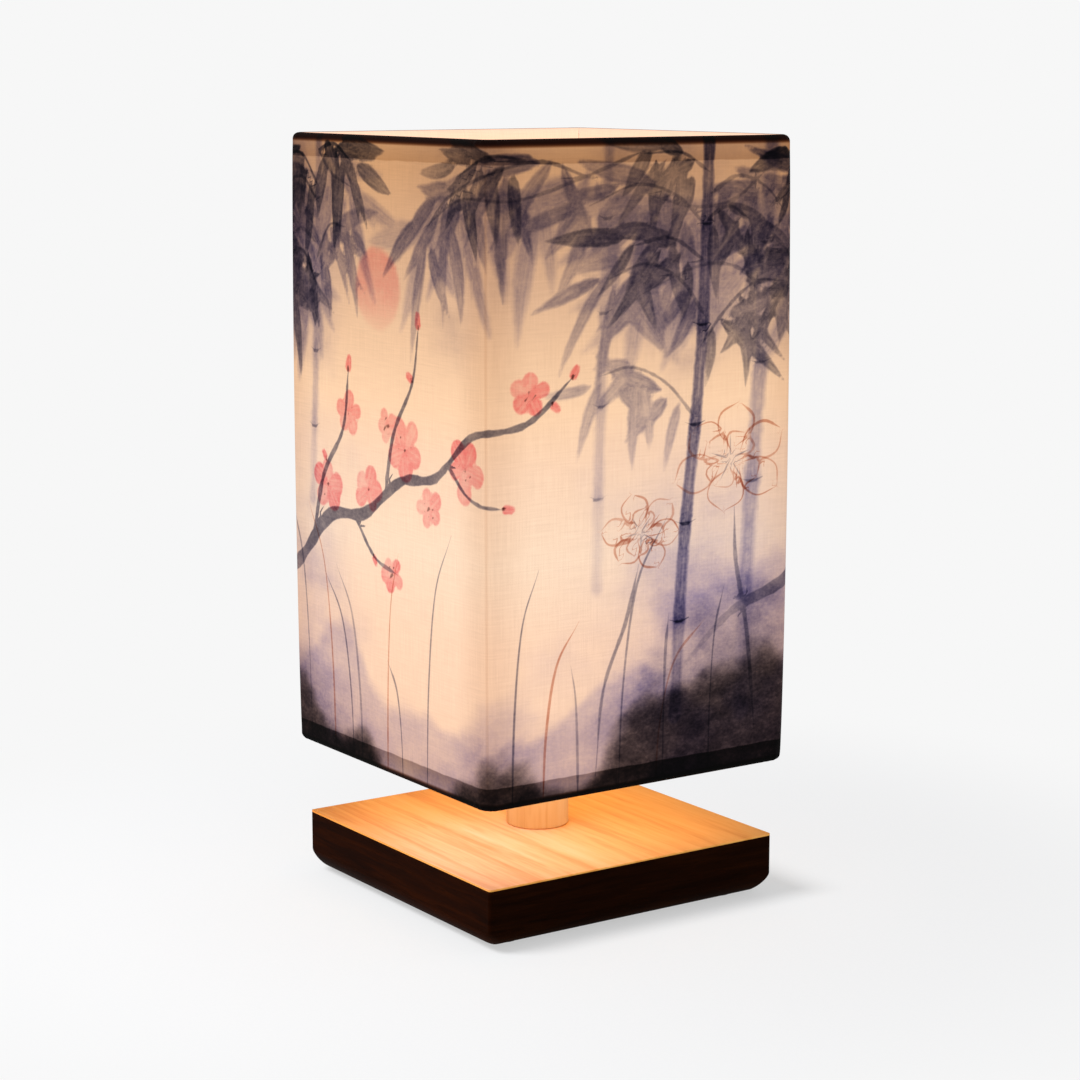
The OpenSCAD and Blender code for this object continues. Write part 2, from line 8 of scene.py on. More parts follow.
import bmesh
import bpy
import numpy as np
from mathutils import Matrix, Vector


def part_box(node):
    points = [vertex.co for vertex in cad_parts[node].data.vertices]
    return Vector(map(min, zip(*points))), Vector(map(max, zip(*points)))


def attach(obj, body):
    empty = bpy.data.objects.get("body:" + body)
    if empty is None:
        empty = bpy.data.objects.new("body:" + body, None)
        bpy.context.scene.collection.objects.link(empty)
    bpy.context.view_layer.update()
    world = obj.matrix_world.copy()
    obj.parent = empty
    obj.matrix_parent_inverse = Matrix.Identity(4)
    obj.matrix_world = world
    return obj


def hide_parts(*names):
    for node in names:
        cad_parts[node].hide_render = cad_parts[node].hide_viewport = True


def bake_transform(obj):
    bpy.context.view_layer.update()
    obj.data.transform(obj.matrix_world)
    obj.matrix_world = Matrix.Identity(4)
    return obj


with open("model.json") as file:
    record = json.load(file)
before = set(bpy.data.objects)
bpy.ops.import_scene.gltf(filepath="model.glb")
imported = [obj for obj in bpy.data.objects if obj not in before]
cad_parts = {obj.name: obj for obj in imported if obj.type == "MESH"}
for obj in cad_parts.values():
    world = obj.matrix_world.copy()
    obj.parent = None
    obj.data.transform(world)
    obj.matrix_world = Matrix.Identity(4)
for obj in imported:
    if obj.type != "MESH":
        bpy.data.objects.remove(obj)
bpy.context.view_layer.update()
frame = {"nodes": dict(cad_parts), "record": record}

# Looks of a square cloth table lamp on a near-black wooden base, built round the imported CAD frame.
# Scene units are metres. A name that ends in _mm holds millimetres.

LOG = logging.getLogger("lamp")
MM = 0.001
SIDE_MM = 127.0
GIRTH_MM = 4 * SIDE_MM
HEM_MM = 8.0
# How far off a face may lie to take its thread
NEAR = 0.1 * MM
# Least part of a unit normal along one axis by which a face counts as planed square
SQUARE_ON = 0.9999


def linear(code: str, alpha: float = 1.0) -> tuple[float, float, float, float]:
    """Turns an sRGB hex colour into the linear values that a socket takes.

    Args:
        code: The colour as "#rrggbb".
        alpha: The fourth value.

    Returns:
        Linear red, green and blue, and alpha.
    """
    parts = [int(code[i : i + 2], 16) / 255 for i in (1, 3, 5)]
    red, green, blue = (c / 12.92 if c <= 0.04045 else ((c + 0.055) / 1.055) ** 2.4 for c in parts)
    return red, green, blue, alpha


def ease(x: np.ndarray, low: float, high: float) -> np.ndarray:
    """Gives the smooth step of x from 0 at low to 1 at high."""
    t = np.clip((x - low) / (high - low), 0.0, 1.0)
    return t * t * (3.0 - 2.0 * t)


class Graph:
    """Node tree of one material, or of the world."""

    def __init__(self, name: str) -> None:
        """Starts an empty material.

        Args:
            name: The material's name.
        """
        self.material = bpy.data.materials.new(name)
        self.material.use_nodes = True
        self.tree = self.material.node_tree
        self.tree.nodes.clear()

    @classmethod
    def of(cls, tree: bpy.types.NodeTree) -> "Graph":
        """Takes up a tree that is there already, and empties it.

        Args:
            tree: The tree.

        Returns:
            The graph over that tree.
        """
        graph = cls.__new__(cls)
        graph.tree = tree
        tree.nodes.clear()
        return graph

    def add(
        self,
        kind: str,
        inputs: dict | None = None,
        stops: Sequence[tuple[float, str]] = (),
        **settings: object,
    ) -> bpy.types.Node:
        """Adds one node with its settings and links.

        Args:
            kind: The node's type without its ShaderNode prefix.
            inputs: Values, nodes or sockets for the input sockets, by name or number.
            stops: Positions and hex colours of a colour ramp, lowest first.
            **settings: Properties of the node.

        Returns:
            The node.
        """
        node = self.tree.nodes.new("ShaderNode" + kind)
        for name, value in settings.items():
            setattr(node, name, value)
        for key, value in (inputs or {}).items():
            socket = node.inputs[key]
            if isinstance(value, bpy.types.Node):
                value = value.outputs[0]
            if isinstance(value, bpy.types.NodeSocket):
                self.tree.links.new(value, socket)
            else:
                socket.default_value = value
        if stops:
            elements = node.color_ramp.elements
            while len(elements) > 1:
                elements.remove(elements[-1])
            elements[0].position, elements[0].color = stops[0][0], linear(stops[0][1])
            for place, code in stops[1:]:
                elements.new(place).color = linear(code)
        return node

    def finish(self, kind: str, inputs: dict) -> bpy.types.Material:
        """Adds the surface's node, links it to the output and returns the material."""
        self.add("OutputMaterial", {"Surface": self.add(kind, inputs)})
        return self.material


# Finishes


class Along(Enum):
    """Direction of a wood's grain."""

    FRONT_TO_BACK = (1.0, 0.055, 1.0)
    LEVEL = (0.07, 0.07, 1.0)
    UPRIGHT = (1.0, 1.0, 0.06)


@dataclass(frozen=True)
class Wood:
    """Planed and finished wood, with early and late growth, flecks and pores."""

    name: str
    pale: str
    middle: str
    dark: str
    along: Along
    ring_mm: float
    pore_mm: float
    streak: float
    roughness: float
    specular: float

    def build(self) -> bpy.types.Material:
        """Builds the wood's material.

        Returns:
            The material.
        """
        g = Graph(self.name)
        place = g.add("TexCoord").outputs["Object"]
        stretched = g.add("Mapping", {"Vector": place, "Scale": self.along.value}, vector_type="POINT")
        # Growth rings cut along the board: bands some millimetres wide that wander
        ring = self.ring_mm * MM
        wander = g.add("TexNoise", {"Vector": stretched, "Scale": 1 / (9 * ring), "Detail": 2.0})
        bands = g.add(
            "TexNoise",
            {"Vector": stretched, "Scale": 1 / ring, "Detail": 4.0, "Roughness": 0.62, "Distortion": 0.5},
        )
        lines = g.add(
            "TexNoise", {"Vector": stretched, "Scale": 1 / (0.35 * ring), "Detail": 3.0, "Roughness": 0.7}
        )
        body = g.add("Math", {0: bands, 1: 0.55}, operation="MULTIPLY")
        body = g.add("Math", {0: wander, 1: 0.3, 2: body}, operation="MULTIPLY_ADD")
        body = g.add("Math", {0: lines, 1: 0.15, 2: body}, operation="MULTIPLY_ADD")
        tint = g.add("ValToRGB", {"Fac": body}, [(0.36, self.dark), (0.5, self.middle), (0.64, self.pale)])
        # Pores: short dark lines along the grain, drawn twice as wide as real ones so that they show
        pores = g.add("TexNoise", {"Vector": stretched, "Scale": 1 / (self.pore_mm * MM), "Detail": 1.0})
        pore = g.add("MapRange", {"Value": pores, "From Min": 0.62, "From Max": 0.72, "To Max": self.streak})
        colour = g.add("Mix", {0: pore, 6: tint, 7: linear(self.dark)}, data_type="RGBA")
        gloss = g.add(
            "MapRange", {"Value": bands, "To Min": self.roughness - 0.06, "To Max": self.roughness + 0.1}
        )
        relief = g.add("Bump", {"Height": pores, "Strength": 0.12, "Distance": 0.00008})
        return g.finish(
            "BsdfPrincipled",
            {
                "Base Color": colour.outputs[2],
                "Roughness": gloss,
                "Specular IOR Level": self.specular,
                "Normal": relief,
            },
        )


@dataclass(frozen=True)
class Metal:
    """Bare or plated metal, with fine working marks and faint tarnish."""

    name: str
    bright: str
    dull: str
    roughness: float
    # Real working marks are some 0.05 mm wide and are drawn several times as wide, so that they show
    mark_mm: float
    turned: bool = False
    # Tarnish clouds the metal over some 7 mm
    haze_mm: float = 7.0

    def build(self) -> bpy.types.Material:
        """Builds the metal's material.

        Returns:
            The material.
        """
        g = Graph(self.name)
        place = g.add("TexCoord").outputs["Object"]
        squeeze = (0.15, 0.15, 1.0) if self.turned else (1.0, 1.0, 1.0)
        lined = g.add("Mapping", {"Vector": place, "Scale": squeeze}, vector_type="POINT")
        marks = g.add("TexNoise", {"Vector": lined, "Scale": 1 / (self.mark_mm * MM), "Detail": 3.0})
        haze = g.add("TexNoise", {"Vector": place, "Scale": 1 / (self.haze_mm * MM), "Detail": 3.0})
        colour = g.add("ValToRGB", {"Fac": haze}, [(0.35, self.dull), (0.6, self.bright)])
        gloss = g.add(
            "MapRange", {"Value": marks, "To Min": self.roughness - 0.08, "To Max": self.roughness + 0.12}
        )
        relief = g.add("Bump", {"Height": marks, "Strength": 0.1, "Distance": 0.00005})
        inputs = {"Base Color": colour, "Metallic": 1.0, "Roughness": gloss, "Normal": relief}
        return g.finish("BsdfPrincipled", inputs)


@dataclass(frozen=True)
class Moulded:
    """Moulded plastic, pressed ceramic or a fused coat, with the fine skin that the mould or fire leaves."""

    name: str
    colour: str
    shade: str
    roughness: float
    # The real skin has pits of 0.1 mm and less and is drawn coarser, so that it shows
    skin_mm: float
    ior: float
    glow: str = ""
    glow_strength: float = 0.0
    # The colour clouds a little over some 11 mm, as in thick and thin places of a moulding
    cloud_mm: float = 11.0

    def build(self) -> bpy.types.Material:
        """Builds the moulded part's material.

        Returns:
            The material.
        """
        g = Graph(self.name)
        place = g.add("TexCoord").outputs["Object"]
        skin = g.add("TexNoise", {"Vector": place, "Scale": 1 / (self.skin_mm * MM), "Detail": 2.0})
        cloud = g.add("TexNoise", {"Vector": place, "Scale": 1 / (self.cloud_mm * MM), "Detail": 3.0})
        colour = g.add("ValToRGB", {"Fac": cloud}, [(0.35, self.shade), (0.62, self.colour)])
        gloss = g.add(
            "MapRange", {"Value": skin, "To Min": self.roughness - 0.05, "To Max": self.roughness + 0.08}
        )
        relief = g.add("Bump", {"Height": skin, "Strength": 0.08, "Distance": 0.00006})
        inputs = {"Base Color": colour, "Roughness": gloss, "IOR": self.ior, "Normal": relief}
        if self.glow:
            inputs["Emission Color"] = linear(self.glow)
            inputs["Emission Strength"] = self.glow_strength
        return g.finish("BsdfPrincipled", inputs)


@dataclass(frozen=True)
class Felt:
    """Pressed wool felt: short crossing fibres, no gloss."""

    name: str = "pressed_wool_felt"
    colour: str = "#2b2522"
    fleck: str = "#4a423c"
    # Wool fibres are 0.03 mm thick and are drawn as 0.3 mm so that they show
    fibre_mm: float = 0.3

    def build(self) -> bpy.types.Material:
        """Builds the felt's material.

        Returns:
            The material.
        """
        g = Graph(self.name)
        place = g.add("TexCoord").outputs["Object"]
        fibres = g.add(
            "TexNoise", {"Vector": place, "Scale": 1 / (self.fibre_mm * MM), "Detail": 4.0, "Distortion": 2.0}
        )
        colour = g.add("ValToRGB", {"Fac": fibres}, [(0.4, self.colour), (0.7, self.fleck)])
        relief = g.add("Bump", {"Height": fibres, "Strength": 0.6, "Distance": 0.0002})
        return g.finish(
            "BsdfPrincipled",
            {
                "Base Color": colour,
                "Roughness": 0.95,
                "Specular IOR Level": 0.1,
                "Sheen Weight": 0.4,
                "Normal": relief,
            },
        )


@dataclass(frozen=True)
class LitLiner:
    """Stiff white sheet behind the cloth, extruded thin enough to glow, and lit by the bulb beside it."""

    name: str = "extruded_styrene_liner"
    sheet: str = "#c9b79c"
    # The sheet is cloudy in patches of some 1.6 mm
    speck_mm: float = 1.6
    # Heights between which the light's colour changes
    low_m: float = 0.05
    high_m: float = 0.27
    strength: float = 0.5
    # Colour of its light from the lower opening to the upper one, whitest beside the bulb
    glow: tuple[tuple[float, str], ...] = (
        (0.0, "#ffc987"), (0.3, "#ffe0b4"), (0.48, "#fff3da"), (0.7, "#ffe2b8"), (1.0, "#ffd7a4")
    )

    def build(self) -> bpy.types.Material:
        """Builds the liner's material, brightest beside the bulb.

        Returns:
            The material.
        """
        g = Graph(self.name)
        place = g.add("TexCoord").outputs["Object"]
        height = g.add("SeparateXYZ", {0: place}).outputs["Z"]
        share = g.add("MapRange", {"Value": height, "From Min": self.low_m, "From Max": self.high_m})
        glow = g.add("ValToRGB", {"Fac": share}, self.glow)
        specks = g.add("TexNoise", {"Vector": place, "Scale": 1 / (self.speck_mm * MM), "Detail": 3.0})
        level = g.add("MapRange", {"Value": specks, "To Min": 0.93, "To Max": 1.07})
        light = g.add("VectorMath", {0: glow, "Scale": level}, operation="SCALE")
        return g.finish(
            "BsdfPrincipled",
            {
                "Base Color": linear(self.sheet),
                "Roughness": 0.6,
                "Emission Color": light,
                "Emission Strength": self.strength,
            },
        )


@dataclass(frozen=True)
class Pigment:
    """Ink on the cloth, or a shadow in it, by the colour that white light has after one full coat."""

    seen: str

    @property
    def takes(self) -> tuple[float, ...]:
        """How much a full coat takes from red, green and blue, as depths that add up coat by coat."""
        return tuple(-math.log(part) for part in linear(self.seen)[:3])


MIST_INK = Pigment("#a3a7da")
PALE_INK = Pigment("#a3a7cb")
MIDDLE_INK = Pigment("#a3a6c2")
DARK_INK = Pigment("#a3a6b6")
SOOT_INK = Pigment("#a3a09e")
CORAL_INK = Pigment("#f6b8c2")
BROWN_INK = Pigment("#dab4a7")
# Painted shade in the cloth: the shadow of the turned hem, the black rim where the rolled cloth and wire
# block the light, and the shade at the corners and along their creases
HEM_SHADE_ABOVE = Pigment("#e7dfd4")
HEM_SHADE_BELOW = Pigment("#cec5b9")
RIM_SHADE = Pigment("#251108")
CORNER_SHADE = Pigment("#f4f0ed")


class Layer(Enum):
    """Layers of the print, by the mesh attribute that holds each."""

    HAZE = "haze_marks"
    MIDDLE = "middle_marks"
    DARK = "dark_marks"
    DEEP = "deep_marks"
    CORAL = "coral_marks"
    BRANCHES = "branch_lines"
    INK_LINES = "ink_lines"
    BROWN_LINES = "brown_lines"
    RUST_LINES = "rust_lines"


@dataclass(frozen=True)
class Brush:
    """How the marks of one layer lie on the cloth."""

    layer: Layer
    pigment: Pigment
    soft_mm: float
    ragged_mm: float


@dataclass(frozen=True)
class PrintedCloth:
    """Plain-woven cloth with a painted print: dull, with slubs in its yarns, and lit from behind."""

    name: str = "printed_plain_weave_cloth"
    # Unprinted yarn in daylight
    yarn: str = "#a7886b"
    # Colour of the light through unprinted cloth, from the lower edge to the upper one
    glow: tuple[tuple[float, str], ...] = (
        (0.0, "#cea68e"), (0.06, "#d4ad95"), (0.153, "#d7b59e"), (0.242, "#d9b8a1"), (0.374, "#d9c2ad"),
        (0.51, "#d5b7a0"), (0.597, "#d5b394"), (0.689, "#c5a182"), (0.775, "#b08b6f"), (0.953, "#996638"),
        (1.0, "#936135"),
    )
    strength: float = 1.0
    height_mm: float = 219.3
    side_mm: float = SIDE_MM
    hem_mm: float = HEM_MM
    # The turned-in edge faces the bulb, so it shows by the light that falls on it
    lit_hem: str = "#f2cbb4"
    # A real thread is 0.45 mm apart; it is drawn at 0.9 mm so that the weave shows
    thread_mm: float = 0.9
    # Pooled ink is lighter and darker over some 8 mm, and settles in the weave over some 1.4 mm
    pool_mm: float = 8.0
    grain_mm: float = 1.4
    # Tufts of brush hair leave streaks about 0.9 mm apart along a mark
    streak_mm: float = 0.9
    # The hem's raw edge strays over some 11 mm
    sway_mm: float = 11.0
    # Slubs are thick places in a yarn, some 14 mm long and 0.5 mm wide, here as repeats to a millimetre
    slub_along: float = 0.07
    slub_across: float = 1.9
    sun_coat: float = 0.62
    brushes: tuple[Brush, ...] = (
        Brush(Layer.HAZE, PALE_INK, 1.9, 3.4),
        Brush(Layer.MIDDLE, MIDDLE_INK, 0.8, 1.9),
        Brush(Layer.DARK, DARK_INK, 0.5, 1.3),
        Brush(Layer.DEEP, SOOT_INK, 0.3, 0.6),
        Brush(Layer.CORAL, CORAL_INK, 0.5, 1.2),
    )
    lines: tuple[Brush, ...] = (
        Brush(Layer.BRANCHES, DARK_INK, 0.35, 1.1),
        Brush(Layer.INK_LINES, DARK_INK, 0.25, 0.0),
        Brush(Layer.BROWN_LINES, BROWN_INK, 0.22, 0.0),
        Brush(Layer.RUST_LINES, BROWN_INK, 0.22, 0.0),
    )

    def build(self) -> bpy.types.Material:
        """Builds the cloth's material from the fields that the painter left on the mesh.

        Returns:
            The material.
        """
        g = Graph(self.name)
        flat = g.add("Attribute", attribute_name="flat_mm")
        at = g.add("SeparateXYZ", {0: flat.outputs["Vector"]})
        place = flat.outputs["Vector"]
        rough = g.add(
            "TexNoise", {"Vector": place, "Scale": 1 / self.pool_mm, "Detail": 4.0, "Roughness": 0.62}
        )
        grit = g.add("TexNoise", {"Vector": place, "Scale": 1 / self.grain_mm, "Detail": 2.0})
        body = g.add(
            "MapRange", {"Value": rough, "From Min": 0.28, "From Max": 0.72, "To Min": 0.76, "To Max": 1.24}
        )
        grain = g.add(
            "MapRange", {"Value": grit, "From Min": 0.25, "From Max": 0.75, "To Min": 0.86, "To Max": 1.14}
        )
        load = g.add("Math", {0: body, 1: grain}, operation="MULTIPLY")
        depth = self._washes(g, load)
        for brush in self.brushes:
            depth = self._marks(g, brush, rough, load, depth)
        for brush in self.lines:
            depth = self._fine_lines(g, brush, rough, load, depth)
        depth, turned = self._hems(g, at, depth)
        spectrum = g.add("SeparateXYZ", {0: depth})
        passed = []
        for band in "XYZ":
            less = g.add("Math", {0: spectrum.outputs[band], 1: -1.0}, operation="MULTIPLY")
            passed.append(g.add("Math", {0: less}, operation="EXPONENT"))
        ink = g.add("CombineXYZ", dict(enumerate(passed)))
        weave, relief = self._weave(g, at)
        shown = g.add("VectorMath", {0: ink, "Scale": weave}, operation="SCALE")
        height = g.add("MapRange", {"Value": at.outputs["Y"], "From Max": self.height_mm})
        glow = g.add("ValToRGB", {"Fac": height}, self.glow)
        glow = g.add("Mix", {0: turned, 6: glow, 7: linear(self.lit_hem)}, data_type="RGBA").outputs[2]
        # Both the light through the cloth and its daylight colour take the print and the painted shade of
        # hems, rims and corners
        out = g.add("VectorMath", {0: glow, 1: shown}, operation="MULTIPLY")
        colour = g.add("VectorMath", {0: linear(self.yarn)[:3], 1: shown}, operation="MULTIPLY")
        return g.finish(
            "BsdfPrincipled",
            {
                "Base Color": colour,
                "Roughness": 0.9,
                "Specular IOR Level": 0.06,
                "Emission Color": out,
                "Emission Strength": self.strength,
                "Normal": relief,
            },
        )

    def _lay(
        self, g: Graph, pigment: Pigment, amount: bpy.types.Node, depth: bpy.types.Node | None
    ) -> bpy.types.Node:
        """Adds a coat of pigment to the depth of colour.

        Args:
            g: The cloth's node tree.
            pigment: The ink.
            amount: How much of it lies at each place.
            depth: What lies there already.

        Returns:
            The depth of colour with this coat.
        """
        coat = g.add("VectorMath", {0: pigment.takes, "Scale": amount}, operation="SCALE")
        return coat if depth is None else g.add("VectorMath", {0: depth, 1: coat}, operation="ADD")

    def _washes(self, g: Graph, load: bpy.types.Node) -> bpy.types.Node:
        """Lays the wet washes: mist, soot and the coral disc.

        Args:
            g: The cloth's node tree.
            load: How much ink the cloth takes up at each place.

        Returns:
            The depth of colour of the washes.
        """
        wash = g.add("SeparateXYZ", {0: g.add("Attribute", attribute_name="washes").outputs["Vector"]})
        depth = None
        inks = (("X", MIST_INK, 1.0), ("Y", SOOT_INK, 1.0), ("Z", CORAL_INK, self.sun_coat))
        for band, pigment, most in inks:
            full = g.add("Math", {0: load, 1: most}, operation="MULTIPLY")
            amount = g.add("Math", {0: wash.outputs[band], 1: full}, operation="MULTIPLY")
            depth = self._lay(g, pigment, amount, depth)
        return depth

    def _marks(
        self, g: Graph, brush: Brush, rough: bpy.types.Node, load: bpy.types.Node, depth: bpy.types.Node
    ) -> bpy.types.Node:
        """Lays one layer of brush marks, each with a ragged edge, a wetter rim and streaks of brush hair.

        Args:
            g: The cloth's node tree.
            brush: The layer and how it lies.
            rough: Noise that tears the edges.
            load: How much ink the cloth takes up at each place.
            depth: What lies there already.

        Returns:
            The depth of colour with this layer.
        """
        marks = g.add("Attribute", attribute_name=brush.layer.value)
        part = g.add("SeparateXYZ", {0: marks.outputs["Vector"]})
        torn = g.add("Math", {0: rough, 1: brush.ragged_mm, 2: part.outputs["X"]}, operation="MULTIPLY_ADD")
        torn = g.add("Math", {0: torn, 1: brush.ragged_mm / 2}, operation="SUBTRACT")
        inside = g.add(
            "MapRange",
            {"Value": torn, "From Min": brush.soft_mm, "From Max": -brush.soft_mm},
            interpolation_type="SMOOTHSTEP",
        )
        wet = g.add(
            "MapRange",
            {"Value": torn, "From Min": -2.2, "From Max": -0.6, "To Min": 1.0, "To Max": 1.22},
            interpolation_type="SMOOTHSTEP",
        )
        # The streaks lie across the mark, and their pattern moves on as the tone changes along it
        tuft = g.add("Math", {0: part.outputs["Y"], 1: 1 / self.streak_mm}, operation="MULTIPLY")
        run = g.add("Math", {0: marks.outputs["Alpha"], 1: 7.0}, operation="MULTIPLY")
        drag = g.add("CombineXYZ", {0: tuft, 1: run})
        hair = g.add("TexNoise", {"Vector": drag, "Scale": 1.0, "Detail": 1.0})
        streak = g.add(
            "MapRange", {"Value": hair, "From Min": 0.3, "From Max": 0.7, "To Min": 0.8, "To Max": 1.16}
        )
        amount = marks.outputs["Alpha"]
        for factor in (inside, load, wet, streak):
            amount = g.add("Math", {0: amount, 1: factor}, operation="MULTIPLY")
        return self._lay(g, brush.pigment, amount, depth)

    def _fine_lines(
        self, g: Graph, brush: Brush, rough: bpy.types.Node, load: bpy.types.Node, depth: bpy.types.Node
    ) -> bpy.types.Node:
        """Lays thin lines, each drawn from the distance to its middle.

        Args:
            g: The cloth's node tree.
            brush: The layer and how it lies.
            rough: Noise that tears the edges.
            load: How much ink the cloth takes up at each place.
            depth: What lies there already.

        Returns:
            The depth of colour with this layer.
        """
        marks = g.add("Attribute", attribute_name=brush.layer.value)
        part = g.add("SeparateXYZ", {0: marks.outputs["Vector"]})
        off = g.add("Math", {0: part.outputs["X"]}, operation="ABSOLUTE")
        off = g.add("Math", {0: rough, 1: brush.ragged_mm, 2: off}, operation="MULTIPLY_ADD")
        off = g.add("Math", {0: off, 1: brush.ragged_mm / 2}, operation="SUBTRACT")
        room = g.add("Math", {0: part.outputs["Z"], 1: off}, operation="SUBTRACT")
        inside = g.add(
            "MapRange",
            {"Value": room, "From Min": -brush.soft_mm, "From Max": brush.soft_mm},
            interpolation_type="SMOOTHSTEP",
        )
        # Far from every line the distance to its middle says nothing, so the ink ends before that
        here = g.add("MapRange", {"Value": part.outputs["Y"], "From Min": 1.9, "From Max": 1.3})
        amount = marks.outputs["Alpha"]
        for factor in (inside, here, load):
            amount = g.add("Math", {0: amount, 1: factor}, operation="MULTIPLY")
        return self._lay(g, brush.pigment, amount, depth)

    def _weave(self, g: Graph, at: bpy.types.Node) -> tuple[bpy.types.Node, bpy.types.Node]:
        """Makes the yarns.

        Args:
            g: The cloth's node tree.
            at: Place round the cloth and height.

        Returns:
            Their light and dark, and their relief.
        """
        turns = 2 * math.pi / self.thread_mm
        waves = []
        for axis in ("X", "Y"):
            phase = g.add("Math", {0: at.outputs[axis], 1: turns}, operation="MULTIPLY")
            waves.append(g.add("Math", {0: phase}, operation="SINE"))
        crossing = g.add("Math", {0: waves[0], 1: waves[1]}, operation="MULTIPLY")
        slubs = []
        level = g.add("CombineXYZ", {0: at.outputs["X"], 1: at.outputs["Y"]})
        for scale in ((self.slub_along, self.slub_across, 1.0), (self.slub_across, self.slub_along, 1.0)):
            lined = g.add("VectorMath", {0: level, 1: scale}, operation="MULTIPLY")
            slubs.append(g.add("TexNoise", {"Vector": lined, "Scale": 1.0, "Detail": 2.0, "Roughness": 0.6}))
        both = g.add("Math", {0: slubs[0], 1: slubs[1]}, operation="ADD")
        light = g.add(
            "MapRange", {"Value": both, "From Min": 0.7, "From Max": 1.3, "To Min": 0.94, "To Max": 1.06}
        )
        light = g.add("Math", {0: crossing, 1: 0.018, 2: light}, operation="MULTIPLY_ADD")
        height = g.add("Math", {0: crossing, 1: 0.5, 2: both}, operation="MULTIPLY_ADD")
        return light, g.add("Bump", {"Height": height, "Strength": 0.25, "Distance": 0.0001})

    def _hems(
        self, g: Graph, at: bpy.types.Node, depth: bpy.types.Node
    ) -> tuple[bpy.types.Node, bpy.types.Node]:
        """Adds painted shade: the shadows of the doubled hems, the black rims where the rolled cloth and wire
        block the light, and the shade at the corners and along their creases.

        Args:
            g: The cloth's node tree.
            at: Place round the cloth, height, and way from the rim, negative where the cloth is turned in.
            depth: The print's depth of colour.

        Returns:
            The depth with the shadows, and how much of a place is turned in to the bulb.
        """
        down = g.add("Math", {0: self.height_mm, 1: at.outputs["Y"]}, operation="SUBTRACT")
        edge = g.add("Math", {0: at.outputs["Y"], 1: down}, operation="MINIMUM")
        along = g.add("CombineXYZ", {0: at.outputs["X"]})
        sway = g.add("TexNoise", {"Vector": along, "Scale": 1 / self.sway_mm, "Detail": 2.0})
        raw = g.add("Math", {0: sway, 1: 1.0, 2: edge}, operation="MULTIPLY_ADD")
        raw = g.add("Math", {0: raw, 1: 0.5}, operation="SUBTRACT")
        double = g.add(
            "MapRange", {"Value": raw, "From Min": self.hem_mm + 0.2, "From Max": self.hem_mm - 0.2}
        )
        # Painted shade of the doubled hem, deeper towards its raw edge
        deep = g.add(
            "MapRange",
            {"Value": raw, "From Min": 2.0, "From Max": self.hem_mm, "To Min": 0.5, "To Max": 1.15},
        )
        deep = g.add("Math", {0: double, 1: deep}, operation="MULTIPLY")
        # Painted shade: the rim goes nearly black where the rolled cloth and the wire inside it block the
        # light
        fold = g.add(
            "MapRange", {"Value": edge, "From Min": 3.1, "From Max": 1.1}, interpolation_type="SMOOTHSTEP"
        )
        # Painted shade along the crease at each corner
        corner = g.add("Math", {0: at.outputs["X"], 1: self.side_mm / 2}, operation="PINGPONG")
        corner_shade = g.add("MapRange", {"Value": corner, "From Min": 0.9, "From Max": 0.2})
        # Painted shade: the corners lie further from the bulb than the middle of each side, so they are
        # darker
        dusk = g.add(
            "MapRange", {"Value": corner, "From Min": 20.0, "From Max": 0.0}, interpolation_type="SMOOTHSTEP"
        )
        corner_shade = g.add("Math", {0: dusk, 1: 1.4, 2: corner_shade}, operation="MULTIPLY_ADD")
        # Two layers of print lie over each other in the hem
        layers = g.add("MapRange", {"Value": double, "To Min": 1.0, "To Max": 1.6})
        depth = g.add("VectorMath", {0: depth, "Scale": layers}, operation="SCALE")
        low = g.add("Math", {0: at.outputs["Y"], 1: self.height_mm / 2}, operation="LESS_THAN")
        high = g.add("Math", {0: 1.0, 1: low}, operation="SUBTRACT")
        for shadow, share in ((HEM_SHADE_BELOW, low), (HEM_SHADE_ABOVE, high)):
            depth = self._lay(g, shadow, g.add("Math", {0: deep, 1: share}, operation="MULTIPLY"), depth)
        depth = self._lay(g, RIM_SHADE, fold, depth)
        depth = self._lay(g, CORNER_SHADE, corner_shade, depth)
        turned = g.add(
            "MapRange",
            {"Value": at.outputs["Z"], "From Min": 0.4, "From Max": -0.9},
            interpolation_type="SMOOTHSTEP",
        )
        outside = g.add("Math", {0: 1.0, 1: turned}, operation="SUBTRACT")
        return g.add("VectorMath", {0: depth, "Scale": outside}, operation="SCALE"), turned


